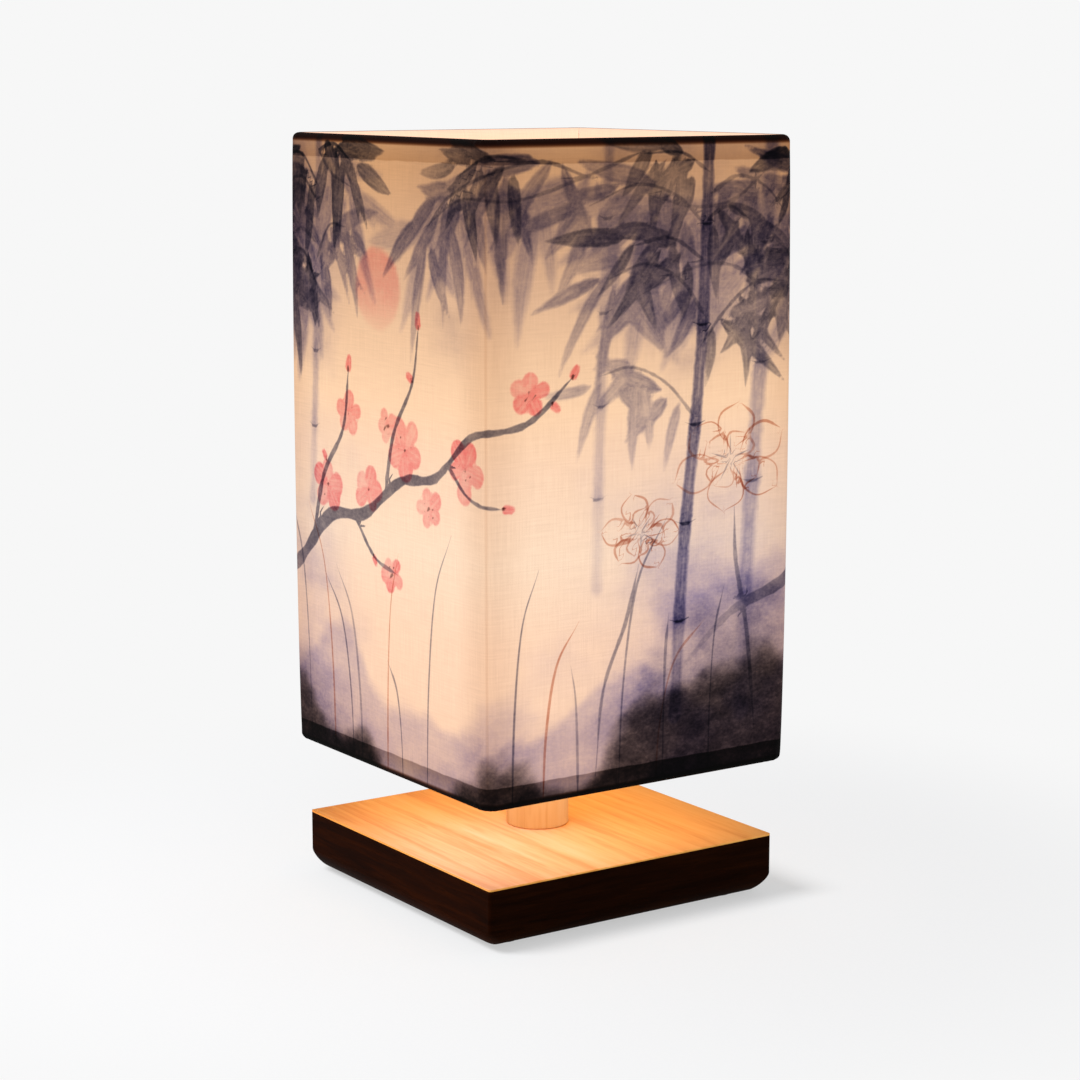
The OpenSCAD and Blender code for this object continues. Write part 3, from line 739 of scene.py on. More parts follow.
# What each slot's real material is and how it was finished, with what that gives the eye
FINISHES: dict[str, object] = {
    # Planed hardwood, coloured nearly black as painted shade of the block's unlit sides: dull, its grain just
    # to be seen
    "stained_wood": Wood(
        "hardwood_dark_as_painted_shade", "#271003", "#1b0902", "#0e0401", Along.LEVEL,
        ring_mm=2.6, pore_mm=0.5, streak=0.6, roughness=0.55, specular=0.008,
    ),
    # Sliced and oiled ash: honey-coloured, with soft bands that run to the front edge
    "veneer": Wood(
        "oiled_ash_veneer", "#efbb6c", "#e9ae5b", "#d2893a", Along.FRONT_TO_BACK,
        ring_mm=7.0, pore_mm=0.6, streak=0.3, roughness=0.5, specular=0.03,
    ),
    # Turned ash: paler than the veneer, with upright lines
    "turned_wood": Wood(
        "turned_ash", "#f0d19c", "#ebc78d", "#dbae70", Along.UPRIGHT,
        ring_mm=4.0, pore_mm=0.6, streak=0.2, roughness=0.5, specular=0.1,
    ),
    # Pressed felt: dull, with fibres that cross
    "felt": Felt(),
    # Plated steel is a soft grey, and drawn spring wire darker and smoother
    "zinc_steel": Metal("zinc_plated_steel", "#c4c3bd", "#9d9c97", 0.38, 0.5),
    "spring_steel": Metal("drawn_spring_steel", "#bdbdbb", "#8d8d8c", 0.3, 0.3),
    # Pressed brass: warm yellow under a thin tarnish
    "brass_parts": Metal("pressed_brass", "#d9b25e", "#b98f3d", 0.32, 0.5),
    # Moulded nylon is half dull, and moulded polyester a little glossy
    "bush_plastic": Moulded("moulded_black_nylon", "#191613", "#100e0c", 0.5, 0.7, 1.53),
    "holder_plastic": Moulded("moulded_white_polyester", "#ece5d6", "#dfd6c4", 0.36, 0.9, 1.55),
    # Pressed and fired steatite: chalky white
    "core_ceramic": Moulded("pressed_steatite", "#f1ece1", "#dcd5c6", 0.55, 0.6, 1.6),
    # Extruded styrene sheet: even and white, and it glows where the bulb lights it
    "liner_sheet": LitLiner(),
    # Wire with a fused coat: smooth and off-white
    "frame_wire": Moulded("white_epoxy_coated_wire", "#efece4", "#e3dfd5", 0.34, 0.8, 1.5),
    # Nickel over pressed brass: bright, with marks that run round the cap
    "nickel_cap": Metal("nickel_plated_brass", "#cbc8c0", "#a7a49b", 0.26, 0.5, turned=True),
    # The housing is moulded and lets a little of the light through
    "bulb_plastic": Moulded(
        "moulded_white_polycarbonate", "#efe9dd", "#e4ddcf", 0.34, 0.9, 1.58,
        glow="#ffc98c", glow_strength=0.12,
    ),
    # Sheet aluminium under white lacquer: flat and pale
    "board_aluminium": Moulded("white_coated_aluminium_board", "#f2f1ec", "#e6e4dd", 0.42, 0.5, 1.5),
    # The globe is moulded of an opal plastic, which scatters the light so that it glows evenly
    "opal_globe": Moulded(
        "moulded_opal_polycarbonate", "#fff4e2", "#f6e8d0", 0.3, 1.2, 1.5, glow="#ffe6bd", glow_strength=1.15
    ),
}


class FinishShelf:
    """Materials by slot, each built once."""

    def __init__(self) -> None:
        """Builds every finish and reads which CAD node takes which slot."""
        self.made = {slot: finish.build() for slot, finish in FINISHES.items()}
        self.slots = {row["node"]: row["material_slot"] for row in frame["record"]["subparts"]}

    def dress(self, *names: str) -> None:
        """Gives CAD nodes the finish of their slot."""
        for name in names:
            put_material(frame["nodes"][name], self.made[self.slots[name]])


def put_material(obj: bpy.types.Object, material: bpy.types.Material) -> None:
    """Makes material the only one on obj."""
    obj.data.materials.clear()
    obj.data.materials.append(material)


# Meshes


def grid_mesh(name: str, points: np.ndarray, close_rows: bool, close_columns: bool) -> bpy.types.Object:
    """Makes a mesh of quads over a grid of points.

    Args:
        name: The new object's name.
        points: Points as rows x columns x 3, in metres.
        close_rows: Whether the last row joins the first.
        close_columns: Whether the last column joins the first. Otherwise its two end columns are left open.

    Returns:
        The new object, linked to the scene.
    """
    rows, columns = points.shape[:2]
    index = np.arange(rows * columns).reshape(rows, columns)
    if close_rows:
        index = np.vstack([index, index[:1]])
    if close_columns:
        index = np.hstack([index, index[:, :1]])
    quads = np.stack([index[:-1, :-1], index[:-1, 1:], index[1:, 1:], index[1:, :-1]], axis=-1).reshape(-1, 4)
    mesh = bpy.data.meshes.new(name)
    mesh.from_pydata(points.reshape(-1, 3).tolist(), [], quads.tolist())
    mesh.polygons.foreach_set("use_smooth", np.ones(len(mesh.polygons), bool))
    obj = bpy.data.objects.new(name, mesh)
    bpy.context.scene.collection.objects.link(obj)
    return obj


def copied(node: str, name: str) -> bpy.types.Object:
    """Copies a CAD node's shape at rest.

    Args:
        node: The CAD node.
        name: The new piece's name.

    Returns:
        The new piece, linked to the scene.
    """
    mesh = frame["nodes"][node].data.copy()
    mesh.transform(frame["nodes"][node].matrix_world)
    piece = bpy.data.objects.new(name, mesh)
    bpy.context.scene.collection.objects.link(piece)
    return piece


@dataclass(frozen=True)
class Thread:
    """Rounded screw thread cut into a turned face."""

    pitch: float
    depth: float
    low: float
    high: float

    def cut(self, height: np.ndarray, turn: np.ndarray) -> np.ndarray:
        """Gives how deep the thread is at a height and an angle.

        Args:
            height: Heights in metres.
            turn: Angles in radians.

        Returns:
            Depths below the crest in metres.
        """
        wave = 0.5 - 0.5 * np.cos(2 * math.pi * height / self.pitch - turn)
        runs_in = ease(height, self.low, self.low + self.pitch)
        runs_out = ease(-height, -self.high, -self.high + self.pitch)
        return self.depth * wave * runs_in * runs_out


def turned_part(
    name: str,
    outline: list[tuple[float, float]],
    thread: Thread,
    threaded: tuple[float, float],
    around: int = 96,
) -> bpy.types.Object:
    """Turns a closed outline about the upright axis and cuts a thread into part of it.

    Args:
        name: The new object's name.
        outline: Corners as (radius, height) in metres, in order round the section.
        thread: The thread.
        threaded: The least and greatest radius that the thread is cut into.
        around: How many steps go round the axis.

    Returns:
        The new object.
    """
    step = thread.pitch / 10
    section: list[tuple[float, float]] = []
    for (r0, z0), (r1, z1) in zip(outline, outline[1:] + outline[:1]):
        long = abs(z1 - z0) > 2 * step and threaded[0] <= min(r0, r1) and max(r0, r1) <= threaded[1]
        count = int(math.ceil(abs(z1 - z0) / step)) if long else 1
        section += [(r0 + (r1 - r0) * i / count, z0 + (z1 - z0) * i / count) for i in range(count)]
    radius, height = (np.array(x)[:, None] for x in zip(*section))
    turn = np.linspace(0.0, 2 * math.pi, around, endpoint=False)[None, :]
    cut = np.where((radius >= threaded[0]) & (radius <= threaded[1]), thread.cut(height, turn), 0.0)
    width = radius - cut
    points = np.stack(
        [width * np.cos(turn), width * np.sin(turn), np.broadcast_to(height, width.shape)], axis=-1
    )
    obj = grid_mesh(name, points, close_rows=True, close_columns=True)
    obj.data.set_sharp_from_angle(angle=math.radians(40))
    return obj


# The print

# Points on the flat cloth, as (place round the shade, height above its lower edge) in millimetres
Course = Sequence[tuple[float, float]]


@dataclass(frozen=True)
class Cloud:
    """Soft random field that meets itself round the shade."""

    seed: int
    cell_mm: tuple[float, float]
    octaves: int = 4
    girth_mm: float = GIRTH_MM
    below_mm: float = 80.0
    span_mm: float = 400.0

    def at(self, u: np.ndarray, v: np.ndarray) -> np.ndarray:
        """Gives the field, from 0 to 1.

        Args:
            u: Places round the shade in millimetres.
            v: Heights above its lower edge in millimetres.

        Returns:
            One value for each place.
        """
        rng = np.random.default_rng(self.seed)
        total, weight, gain = np.zeros_like(u), 0.0, 1.0
        for octave in range(self.octaves):
            columns = int(round(self.girth_mm / self.cell_mm[0])) * 2**octave
            rows = int(math.ceil(self.span_mm / self.cell_mm[1])) * 2**octave
            values = rng.random((rows + 2, columns))
            x = (u % self.girth_mm) / self.girth_mm * columns
            y = np.clip((v + self.below_mm) / self.span_mm, 0.0, 0.999) * rows
            i, j = np.floor(x).astype(int), np.floor(y).astype(int)
            a, b = ease(x - i, 0.0, 1.0), ease(y - j, 0.0, 1.0)
            left, right = i % columns, (i + 1) % columns
            low = values[j, left] * (1 - a) + values[j, right] * a
            high = values[j + 1, left] * (1 - a) + values[j + 1, right] * a
            total += gain * (low * (1 - b) + high * b)
            weight += gain
            gain *= 0.5
        return total / weight


def smooth_line(points: Course, steps: int = 8) -> np.ndarray:
    """Draws a smooth line through points.

    Args:
        points: Places on the flat cloth in millimetres.
        steps: Steps between two of them.

    Returns:
        The line's points, one row each.
    """
    p = np.asarray(points, float)
    q = np.vstack([2 * p[0] - p[1], p, 2 * p[-1] - p[-2]])
    t = np.linspace(0.0, 1.0, steps, endpoint=False)[:, None]
    parts = []
    for a, b, c, d in zip(q[:-3], q[1:-2], q[2:-1], q[3:]):
        parts.append(
            0.5 * (2 * b + (c - a) * t + (2 * a - 5 * b + 4 * c - d) * t**2 + (3 * b - a - 3 * c + d) * t**3)
        )
    return np.vstack([*parts, q[-2:-1]])


def moved(points: Course, shift: float) -> Course:
    """Moves points round the shade by a shift in millimetres."""
    return [(x + shift, y) for x, y in points]


def heading(angle: float) -> np.ndarray:
    """Gives the unit step at an angle in degrees, 0 to the right and 90 up."""
    return np.array([math.cos(math.radians(angle)), math.sin(math.radians(angle))])


@dataclass
class Marks:
    """One layer of marks, kept at each place as distances, so that the finish can draw crisp edges.

    A broad mark keeps the distance from its edge, the distance across, half its width and its tone. A fine
    line keeps the same four with the first two changed about, so that its middle comes out sharp.
    """

    u: np.ndarray
    v: np.ndarray
    fine: bool = False
    girth_mm: float = GIRTH_MM
    # How far from a mark its distance is still kept, what bare cloth has instead, and the least step
    reach_mm: float = 8.0
    bare_mm: float = 30.0
    shortest_mm: float = 1e-6

    def __post_init__(self) -> None:
        """Starts with bare cloth."""
        self.first = np.full(len(self.u), self.bare_mm)
        self.second = np.full(len(self.u), self.bare_mm if self.fine else 0.0)
        self.third = np.zeros(len(self.u))
        self.tone = np.zeros(len(self.u))

    def put(self, line: np.ndarray, half: np.ndarray | float, tone: np.ndarray | float) -> None:
        """Lays one mark along a line.

        Args:
            line: The mark's middle line in millimetres.
            half: Half its width at each point.
            tone: Depth of its colour at each point.
        """
        line = np.asarray(line, float)
        half = np.broadcast_to(np.asarray(half, float), (len(line),))
        tone = np.broadcast_to(np.asarray(tone, float), (len(line),))
        middle = line[:, 0].mean()
        du = (self.u - middle + self.girth_mm / 2) % self.girth_mm - self.girth_mm / 2
        line = line - [middle, 0.0]
        reach = half.max() + self.reach_mm
        low, high = line.min(axis=0) - reach, line.max(axis=0) + reach
        near = np.nonzero((du > low[0]) & (du < high[0]) & (self.v > low[1]) & (self.v < high[1]))[0]
        if not len(near):
            return
        place = np.c_[du[near], self.v[near]]
        best = np.full(len(near), math.inf)
        found = np.zeros((4, len(near)))
        ends = (line[:-1], line[1:], half[:-1], half[1:], tone[:-1], tone[1:])
        for a, b, ha, hb, ta, tb in zip(*ends):
            step = b - a
            length = math.hypot(*step)
            if length < self.shortest_mm:
                continue
            share = np.clip((place - a) @ step / length**2, 0.0, 1.0)
            off = place - a - share[:, None] * step
            gap = np.hypot(off[:, 0], off[:, 1])
            width = ha + (hb - ha) * share
            cross = (step[0] * (place[:, 1] - a[1]) - step[1] * (place[:, 0] - a[0])) / length
            measure = gap - width
            take = measure < best
            best[take] = measure[take]
            for row, value in enumerate((gap, cross, width, ta + (tb - ta) * share)):
                found[row, take] = value[take]
        current = self.second if self.fine else self.first
        take = best < current[near]
        chosen = near[take]
        gap, cross, width, shade = found[:, take]
        self.first[chosen] = cross if self.fine else gap - width
        self.second[chosen] = gap - width if self.fine else cross
        self.third[chosen] = width
        self.tone[chosen] = shade

    def store(self, mesh: bpy.types.Mesh, name: str, rows: np.ndarray) -> None:
        """Writes the layer to a mesh as a four-part attribute.

        Args:
            mesh: The cloth's mesh.
            name: The attribute's name.
            rows: Numbers of the vertices that the layer's places belong to.
        """
        values = np.zeros((len(mesh.vertices), 4), np.float32)
        values[:, 0] = self.bare_mm
        values[:, 1] = self.bare_mm if self.fine else 0.0
        values[rows] = np.stack([self.first, self.second, self.third, self.tone], axis=1)
        mesh.attributes.new(name, "FLOAT_COLOR", "POINT").data.foreach_set("color", values.ravel())


@dataclass
class Painting:
    """Generic ink-wash print: bamboo, plum blossom, reeds, hills and a low sun."""

    u: np.ndarray
    v: np.ndarray
    seed: int = 7
    girth_mm: float = GIRTH_MM

    def __post_init__(self) -> None:
        """Lays out an empty sheet."""
        self.rng = np.random.default_rng(self.seed)
        fine = (Layer.BRANCHES, Layer.INK_LINES, Layer.BROWN_LINES, Layer.RUST_LINES)
        self.layers = {layer: Marks(self.u, self.v, fine=layer in fine) for layer in Layer}

    def leaf(
        self, layer: Layer, base: np.ndarray, angle: float, length: float, half: float, tone: float
    ) -> None:
        """Paints one long leaf from its stem to its point.

        Args:
            layer: The layer that it lies in.
            base: Its stem.
            angle: Its way, in degrees.
            length: Its length.
            half: Half its width.
            tone: Depth of its colour.
        """
        share = np.linspace(0.0, 1.0, 9)
        turn = np.radians(angle + self.rng.uniform(-30, 22) * share)
        step = length / (len(share) - 1)
        run = np.vstack([[0.0, 0.0], np.cumsum(np.c_[np.cos(turn[:-1]), np.sin(turn[:-1])] * step, axis=0)])
        width = half * (0.86 * np.sin(math.pi * share**0.72) ** 0.95 + 0.08 * (1 - share))
        self.layers[layer].put(base + run, width, tone * (1.15 - 0.5 * share))

    def spray(
        self,
        layer: Layer,
        base: np.ndarray,
        angle: float,
        count: int,
        length: float,
        half: float,
        tone: float,
        spread: float = 98.0,
    ) -> None:
        """Paints a spray of leaves that fan out from one place.

        Args:
            layer: The layer that they lie in.
            base: The place.
            angle: The spray's way, in degrees.
            count: How many leaves there are.
            length: Length of a full leaf.
            half: Half its width.
            tone: Depth of its colour.
            spread: Degrees from the first leaf to the last.
        """
        draw = self.rng.uniform
        for k in range(count):
            share = k / max(count - 1, 1) - 0.5
            lean = angle + spread * share + draw(-12, 12)
            reach = length * (1 - 0.35 * abs(share)) * draw(0.55, 1.2)
            start = np.array(base) + heading(angle) * draw(-2.0, 5.0) + heading(angle + 90) * 8.0 * share
            self.leaf(layer, start, lean, reach, half * draw(0.7, 1.12), tone * draw(0.62, 1.25))

    def twig(
        self,
        layer: Layer,
        points: Course,
        groups: int,
        length: float,
        half: float,
        tone: float,
        droop: float = 0.62,
    ) -> None:
        """Paints a thin twig with groups of hanging leaves.

        Args:
            layer: The layer of the leaves.
            points: The twig's course.
            groups: How many groups of leaves stand along it.
            length: Length of a full leaf.
            half: Half its width.
            tone: Depth of its colour.
            droop: How far the leaves turn from the twig's way towards straight down.
        """
        line = smooth_line(points, 6)
        self.limb(points, 0.7, 0.35, 0.9 * tone)
        for k in range(groups):
            at = int(round((0.22 + 0.78 * k / max(groups - 1, 1)) * (len(line) - 1)))
            step = line[min(at + 1, len(line) - 1)] - line[max(at - 1, 0)]
            way = math.degrees(math.atan2(step[1], step[0]))
            lean = way + droop * ((-90.0 - way + 180.0) % 360.0 - 180.0)
            self.spray(layer, line[at], lean + self.rng.uniform(-14, 14), 3 + k % 2, length, half, tone)

    def stalk(self, layer: Layer, points: Course, half: float, tone: float, joint: float) -> None:
        """Paints a jointed bamboo stalk, with a dark line at each joint.

        Args:
            layer: The layer that it lies in.
            points: Its course.
            half: Half its width.
            tone: Depth of its colour.
            joint: How far apart its joints are.
        """
        line = smooth_line(points, 10)
        run = np.r_[0.0, np.cumsum(np.hypot(*np.diff(line, axis=0).T))]
        joints = np.linspace(0.0, run[-1], int(run[-1] // joint) + 2)
        share = np.linspace(-1.0, 1.0, 9)
        for low, high in zip(joints[:-1], joints[1:]):
            s = (low + high) / 2 + share * ((high - low) / 2 - 0.7)
            part = np.c_[np.interp(s, run, line[:, 0]), np.interp(s, run, line[:, 1])]
            fade = ease(np.array([low]), 0.0, 45.0)[0]
            shade = tone * (0.45 + 0.55 * fade) * (0.8 + 0.4 * np.abs(share) ** 3)
            self.layers[layer].put(part, half * (1 + 0.16 * share**4), shade)
        for s in joints[1:-1]:
            x, y = np.interp(s, run, line[:, 0]), np.interp(s, run, line[:, 1])
            ring = ((-1.3, 0.6), (-0.5, 0.0), (0.5, 0.0), (1.3, 0.6))
            arc = [(x + across * half, y + up) for across, up in ring]
            self.layers[Layer.BRANCHES].put(arc, [0.0, 0.55, 0.55, 0.0], min(1.3 * tone, 1.9))

    def limb(self, points: Course, start: float, end: float, tone: float, fade: float = 0.0) -> None:
        """Paints a knotty branch.

        Args:
            points: Its course.
            start: Half its width at the start.
            end: Half its width at the end.
            tone: Depth of its colour.
            fade: How far its start is lost in the mist, from 0 to 1.
        """
        line = smooth_line(points)
        share = np.linspace(0.0, 1.0, len(line))
        rough = self.rng.uniform(0.76, 1.24, len(line))
        come = 1 - fade * (1 - ease(share, 0.0, 0.3))
        width = (start + (end - start) * share) * rough * (0.35 + 0.65 * come)
        width *= np.clip(np.minimum(share, 1 - share) * 14, 0.0, 1.0) ** 0.5
        self.layers[Layer.BRANCHES].put(line, width, tone * self.rng.uniform(0.8, 1.15, len(line)) * come)

    def blossom(self, centre: tuple[float, float], size: float, tone: float) -> None:
        """Paints an open blossom of five petals with a dark eye and stamens.

        Args:
            centre: Its middle.
            size: Its radius.
            tone: Depth of its colour.
        """
        draw = self.rng.uniform
        turn, lean = draw(0, 72), draw(0.74, 1.0)
        middle = np.array(centre, float)
        for k in range(5):
            way = heading(turn + 72 * k + draw(-8, 8)) * [1.0, lean]
            width = size * draw(0.30, 0.42)
            self.layers[Layer.CORAL].put(
                [middle + way * size * 0.26, middle + way * size * draw(0.55, 0.74)], [0.7 * width, width],
                tone * draw(0.55, 1.25),
            )
        deep = self.layers[Layer.DEEP]
        deep.put([middle - [0.25, 0.0], middle + [0.25, 0.0]], 0.65, 1.0)
        for k in range(7):
            tip = middle + heading(turn + 51 * k + 20) * size * draw(0.30, 0.46)
            deep.put([tip, tip + 0.2], 0.36, 1.2)

    def bud(self, at: tuple[float, float], angle: float, size: float) -> None:
        """Paints a closed bud on its dark cup.

        Args:
            at: Its stem.
            angle: Its way, in degrees.
            size: Its length.
        """
        foot, way = np.array(at, float), heading(angle) * size
        self.layers[Layer.CORAL].put([foot + 0.35 * way, foot + 1.15 * way], [0.55 * size, 0.42 * size], 1.15)
        self.layers[Layer.DEEP].put([foot, foot + 0.35 * way], [0.75, 0.45], 1.4)

    def hair(self, layer: Layer, points: Course, half: float, tone: float) -> None:
        """Draws one fine line that runs out at both ends.

        Args:
            layer: The layer that it lies in.
            points: Its course.
            half: Half its width.
            tone: Depth of its colour.
        """
        line = smooth_line(points)
        share = np.linspace(0.0, 1.0, len(line))
        press = 1 + 0.35 * np.sin(5.0 * share + self.rng.uniform(0, 6))
        runs_out = np.clip(np.minimum(share, 1 - share) * 6, 0.0, 1.0)
        self.layers[layer].put(line, half * press * runs_out, tone)

    def drawn_blossom(self, centre: tuple[float, float], size: float, turn: float) -> None:
        """Draws an open blossom in outline: two rings of petals, each in two strokes, and its stamens.

        Petals beside each other lie in layers of their own, so that their lines don't meet.

        Args:
            centre: Its middle.
            size: Its radius.
            turn: How far it is turned, in degrees.
        """
        draw = self.rng.uniform
        middle = np.array(centre, float)
        pens = (Layer.BROWN_LINES, Layer.RUST_LINES)
        # Half a petal as (way out, way aside), and how far the blossom is seen from the side
        petal = ((0.24, 0.16), (0.46, 0.62), (0.78, 0.66), (1.0, 0.06))
        leaning = np.array([1.0, 0.82])
        for ring, (count, reach, wide) in enumerate(((6, 1.0, 0.48), (4, 0.6, 0.40))):
            for k in range(count):
                angle = turn + 360 / count * k + 31 * ring + draw(-7, 7)
                out = heading(angle) * size * reach * draw(0.88, 1.1) * leaning
                aside = heading(angle + 90) * size * wide * leaning
                for side in (-1, 1):
                    stroke = [middle + out * a + aside * b * side for a, b in petal]
                    self.hair(pens[(k + ring) % 2], stroke, draw(0.24, 0.42), draw(0.6, 1.15))
        for k in range(5):
            way = heading(turn + 72 * k + draw(-8, 8)) * size
            self.hair(Layer.INK_LINES, [middle + share * way for share in (0.05, 0.2, 0.3)], 0.24, 0.7)

    def grove(self, shift: float) -> None:
        """Paints the tall bamboo with its hanging leaves.

        Args:
            shift: How far round the shade it stands from its first place.
        """
        self.stalk(Layer.HAZE, moved(((106, 20), (108, 80), (113, 150), (117, 224)), shift), 2.6, 0.75, 43)
        self.stalk(Layer.HAZE, moved(((44, 70), (45, 120), (49, 224)), shift), 1.6, 0.5, 36)
        self.stalk(Layer.MIDDLE, moved(((77, 22), (80, 80), (87, 150), (90, 224)), shift), 2.2, 1.5, 39)
        for course, groups, length, half, tone in (
            (((112, 206), (100, 198), (84, 196), (66, 200)), 4, 46, 4.6, 0.62),
            (((113, 168), (100, 176), (84, 176), (62, 168)), 4, 44, 4.4, 0.55),
            (((60, 214), (36, 206), (12, 200), (-14, 200), (-36, 190)), 5, 44, 4.6, 0.66),
            (((117, 186), (124, 180), (132, 172)), 2, 40, 4.2, 0.6),
        ):
            self.twig(Layer.HAZE, moved(course, shift), groups, length, half, tone)
        for course, groups, length, half, tone in (
            (((88, 190), (76, 200), (60, 204), (42, 198)), 4, 38, 3.5, 0.72),
            (((88, 160), (78, 172), (64, 178), (50, 174)), 4, 36, 3.4, 0.72),
            (((90, 200), (102, 206), (114, 202), (122, 194)), 4, 38, 3.5, 0.76),
            (((84, 126), (72, 138), (58, 144), (46, 142)), 3, 32, 3.0, 0.72),
            (((42, 206), (22, 212), (0, 208), (-22, 200), (-34, 190)), 5, 38, 3.6, 0.85),
        ):
            self.twig(Layer.MIDDLE, moved(course, shift), groups, length, half, tone)
        for course, groups, length, half, tone in (
            (((87, 150), (98, 162), (110, 170), (121, 170)), 4, 34, 3.2, 0.9),
            (((88, 178), (74, 186), (58, 184)), 3, 34, 3.2, 0.95),
            (((89, 208), (78, 214), (64, 214)), 3, 34, 3.1, 0.85),
            (((89, 192), (98, 196), (106, 192)), 2, 30, 3.0, 1.0),
            (((18, 212), (2, 214), (-14, 208)), 3, 34, 3.3, 1.0),
        ):
            self.twig(Layer.DARK, moved(course, shift), groups, length, half, tone)

    def thicket(self, shift: float) -> None:
        """Paints the lighter bamboo at the other side.

        Args:
            shift: How far round the shade it stands from its first place.
        """
        self.stalk(Layer.HAZE, moved(((-112, 90), (-108, 150), (-104, 224)), shift), 1.6, 0.7, 31)
        for layer, course, groups, length, half, tone in (
            (Layer.HAZE, ((-105, 214), (-96, 206), (-84, 202)), 3, 38, 4.0, 0.8),
            (Layer.HAZE, ((-108, 182), (-118, 186), (-130, 180)), 3, 40, 4.2, 0.8),
            (Layer.MIDDLE, ((-106, 196), (-116, 204), (-126, 202), (-136, 196)), 4, 38, 3.7, 1.15),
            (Layer.MIDDLE, ((-107, 176), (-98, 188), (-88, 188)), 3, 32, 3.4, 0.95),
            (Layer.DARK, ((-104, 214), (-94, 216), (-84, 211)), 3, 34, 3.3, 1.5),
            (Layer.DARK, ((-108, 168), (-116, 178), (-124, 178)), 3, 34, 3.2, 1.5),
            (Layer.DARK, ((-106, 202), (-116, 212), (-126, 212)), 3, 32, 3.3, 1.5),
        ):
            self.twig(layer, moved(course, shift), groups, length, half, tone)

    def plum(self, shift: float) -> None:
        """Paints the plum branch with its blossoms and buds.

        Args:
            shift: How far round the shade it stands from its first place.
        """
        trunk = (
            (-176, 34), (-150, 56), (-124, 66), (-100, 86), (-76, 90), (-52, 104),
            (-30, 108), (-8, 124), (16, 128), (34, 142),
        )
        for course, start, end, tone, fade in (
            (trunk, 2.9, 0.7, 1.6, 0.95),
            (((-112, 76), (-104, 100), (-90, 118), (-86, 138)), 1.3, 0.5, 1.5, 0.0),
            (((-62, 98), (-56, 120), (-44, 138), (-40, 156)), 1.1, 0.45, 1.5, 0.0),
            (((-84, 90), (-70, 76), (-56, 72)), 0.9, 0.4, 1.4, 0.0),
            (((-22, 113), (-10, 104), (6, 101)), 0.8, 0.4, 1.4, 0.0),
        ):
            self.limb(moved(course, shift), start, end, tone, fade)
        for x, y, size, tone in (
            (-101, 97, 10.5, 1.0), (-73, 99, 9.0, 0.8), (-49, 115, 11.5, 1.1),
            (-86, 124, 8.0, 0.8), (-12, 113, 10.5, 1.0), (-34, 97, 8.0, 0.8),
            (17, 138, 8.5, 0.95), (-58, 71, 7.5, 0.9), (-60, 122, 6.5, 0.6),
        ):
            self.blossom((x + shift, y), size, tone)
        for x, y, angle, size in (
            (-86, 139, 80, 3.4), (-40, 157, 95, 3.4), (-44, 139, 150, 2.8), (34, 142, 60, 3.0),
            (7, 101, -10, 2.8), (-102, 106, 130, 2.6), (-70, 76, -60, 2.6), (26, 134, -40, 2.6),
        ):
            self.bud((x + shift, y), angle, size)

    def undergrowth(self) -> None:
        """Draws the fine stems with outlined blossoms, and the reeds."""
        for shift in (0.0, 236.0):
            for stem, half in (
                (((112, 14), (108, 50), (103, 74), (102, 92)), 0.7),
                (((44, 8), (47, 36), (56, 58), (61, 76)), 0.6),
            ):
                self.hair(Layer.BRANCHES, moved(stem, shift), half, 0.9)
            self.drawn_blossom((100 + shift, 110), 23.0, 20)
            self.drawn_blossom((62 + shift, 88), 16.0, 50)
        draw = self.rng.uniform
        for side in range(4):
            for k in range(7):
                foot, top, bend = 12 + 13 * k + draw(-5, 5) + SIDE_MM * side, draw(34, 92), draw(-20, 22)
                blade = [(foot + bend * x, top * y) for x, y in ((0, -0.06), (0.1, 0.4), (0.4, 0.78), (1, 1))]
                pen = Layer.BROWN_LINES if k % 3 == 1 else Layer.INK_LINES
                self.hair(pen, blade, draw(0.25, 0.5), draw(0.6, 1.2))

    def washes(self) -> np.ndarray:
        """Lays mist, hills, ground and sun.

        Returns:
            For each place, the mist's wash, the soot wash and the strength of the sun's disc.
        """
        u, v = self.u, self.v
        big = Cloud(11, (64, 60)).at(u, v)
        mid = Cloud(12, (26, 22)).at(u, v)
        small = Cloud(13, (9, 8), 3).at(u, v)
        warp = (mid - 0.5) * 30 + (small - 0.5) * 10

        def gap(x: float) -> np.ndarray:
            """Gives how far each place is from x, round the shade."""
            return (u - x + self.girth_mm / 2) % self.girth_mm - self.girth_mm / 2

        def humps(*rows: tuple[float, float, float]) -> np.ndarray:
            """Adds soft humps, each with its place, width and height."""
            return sum(height * np.exp(-((gap(x) / width) ** 2)) for x, width, height in rows)

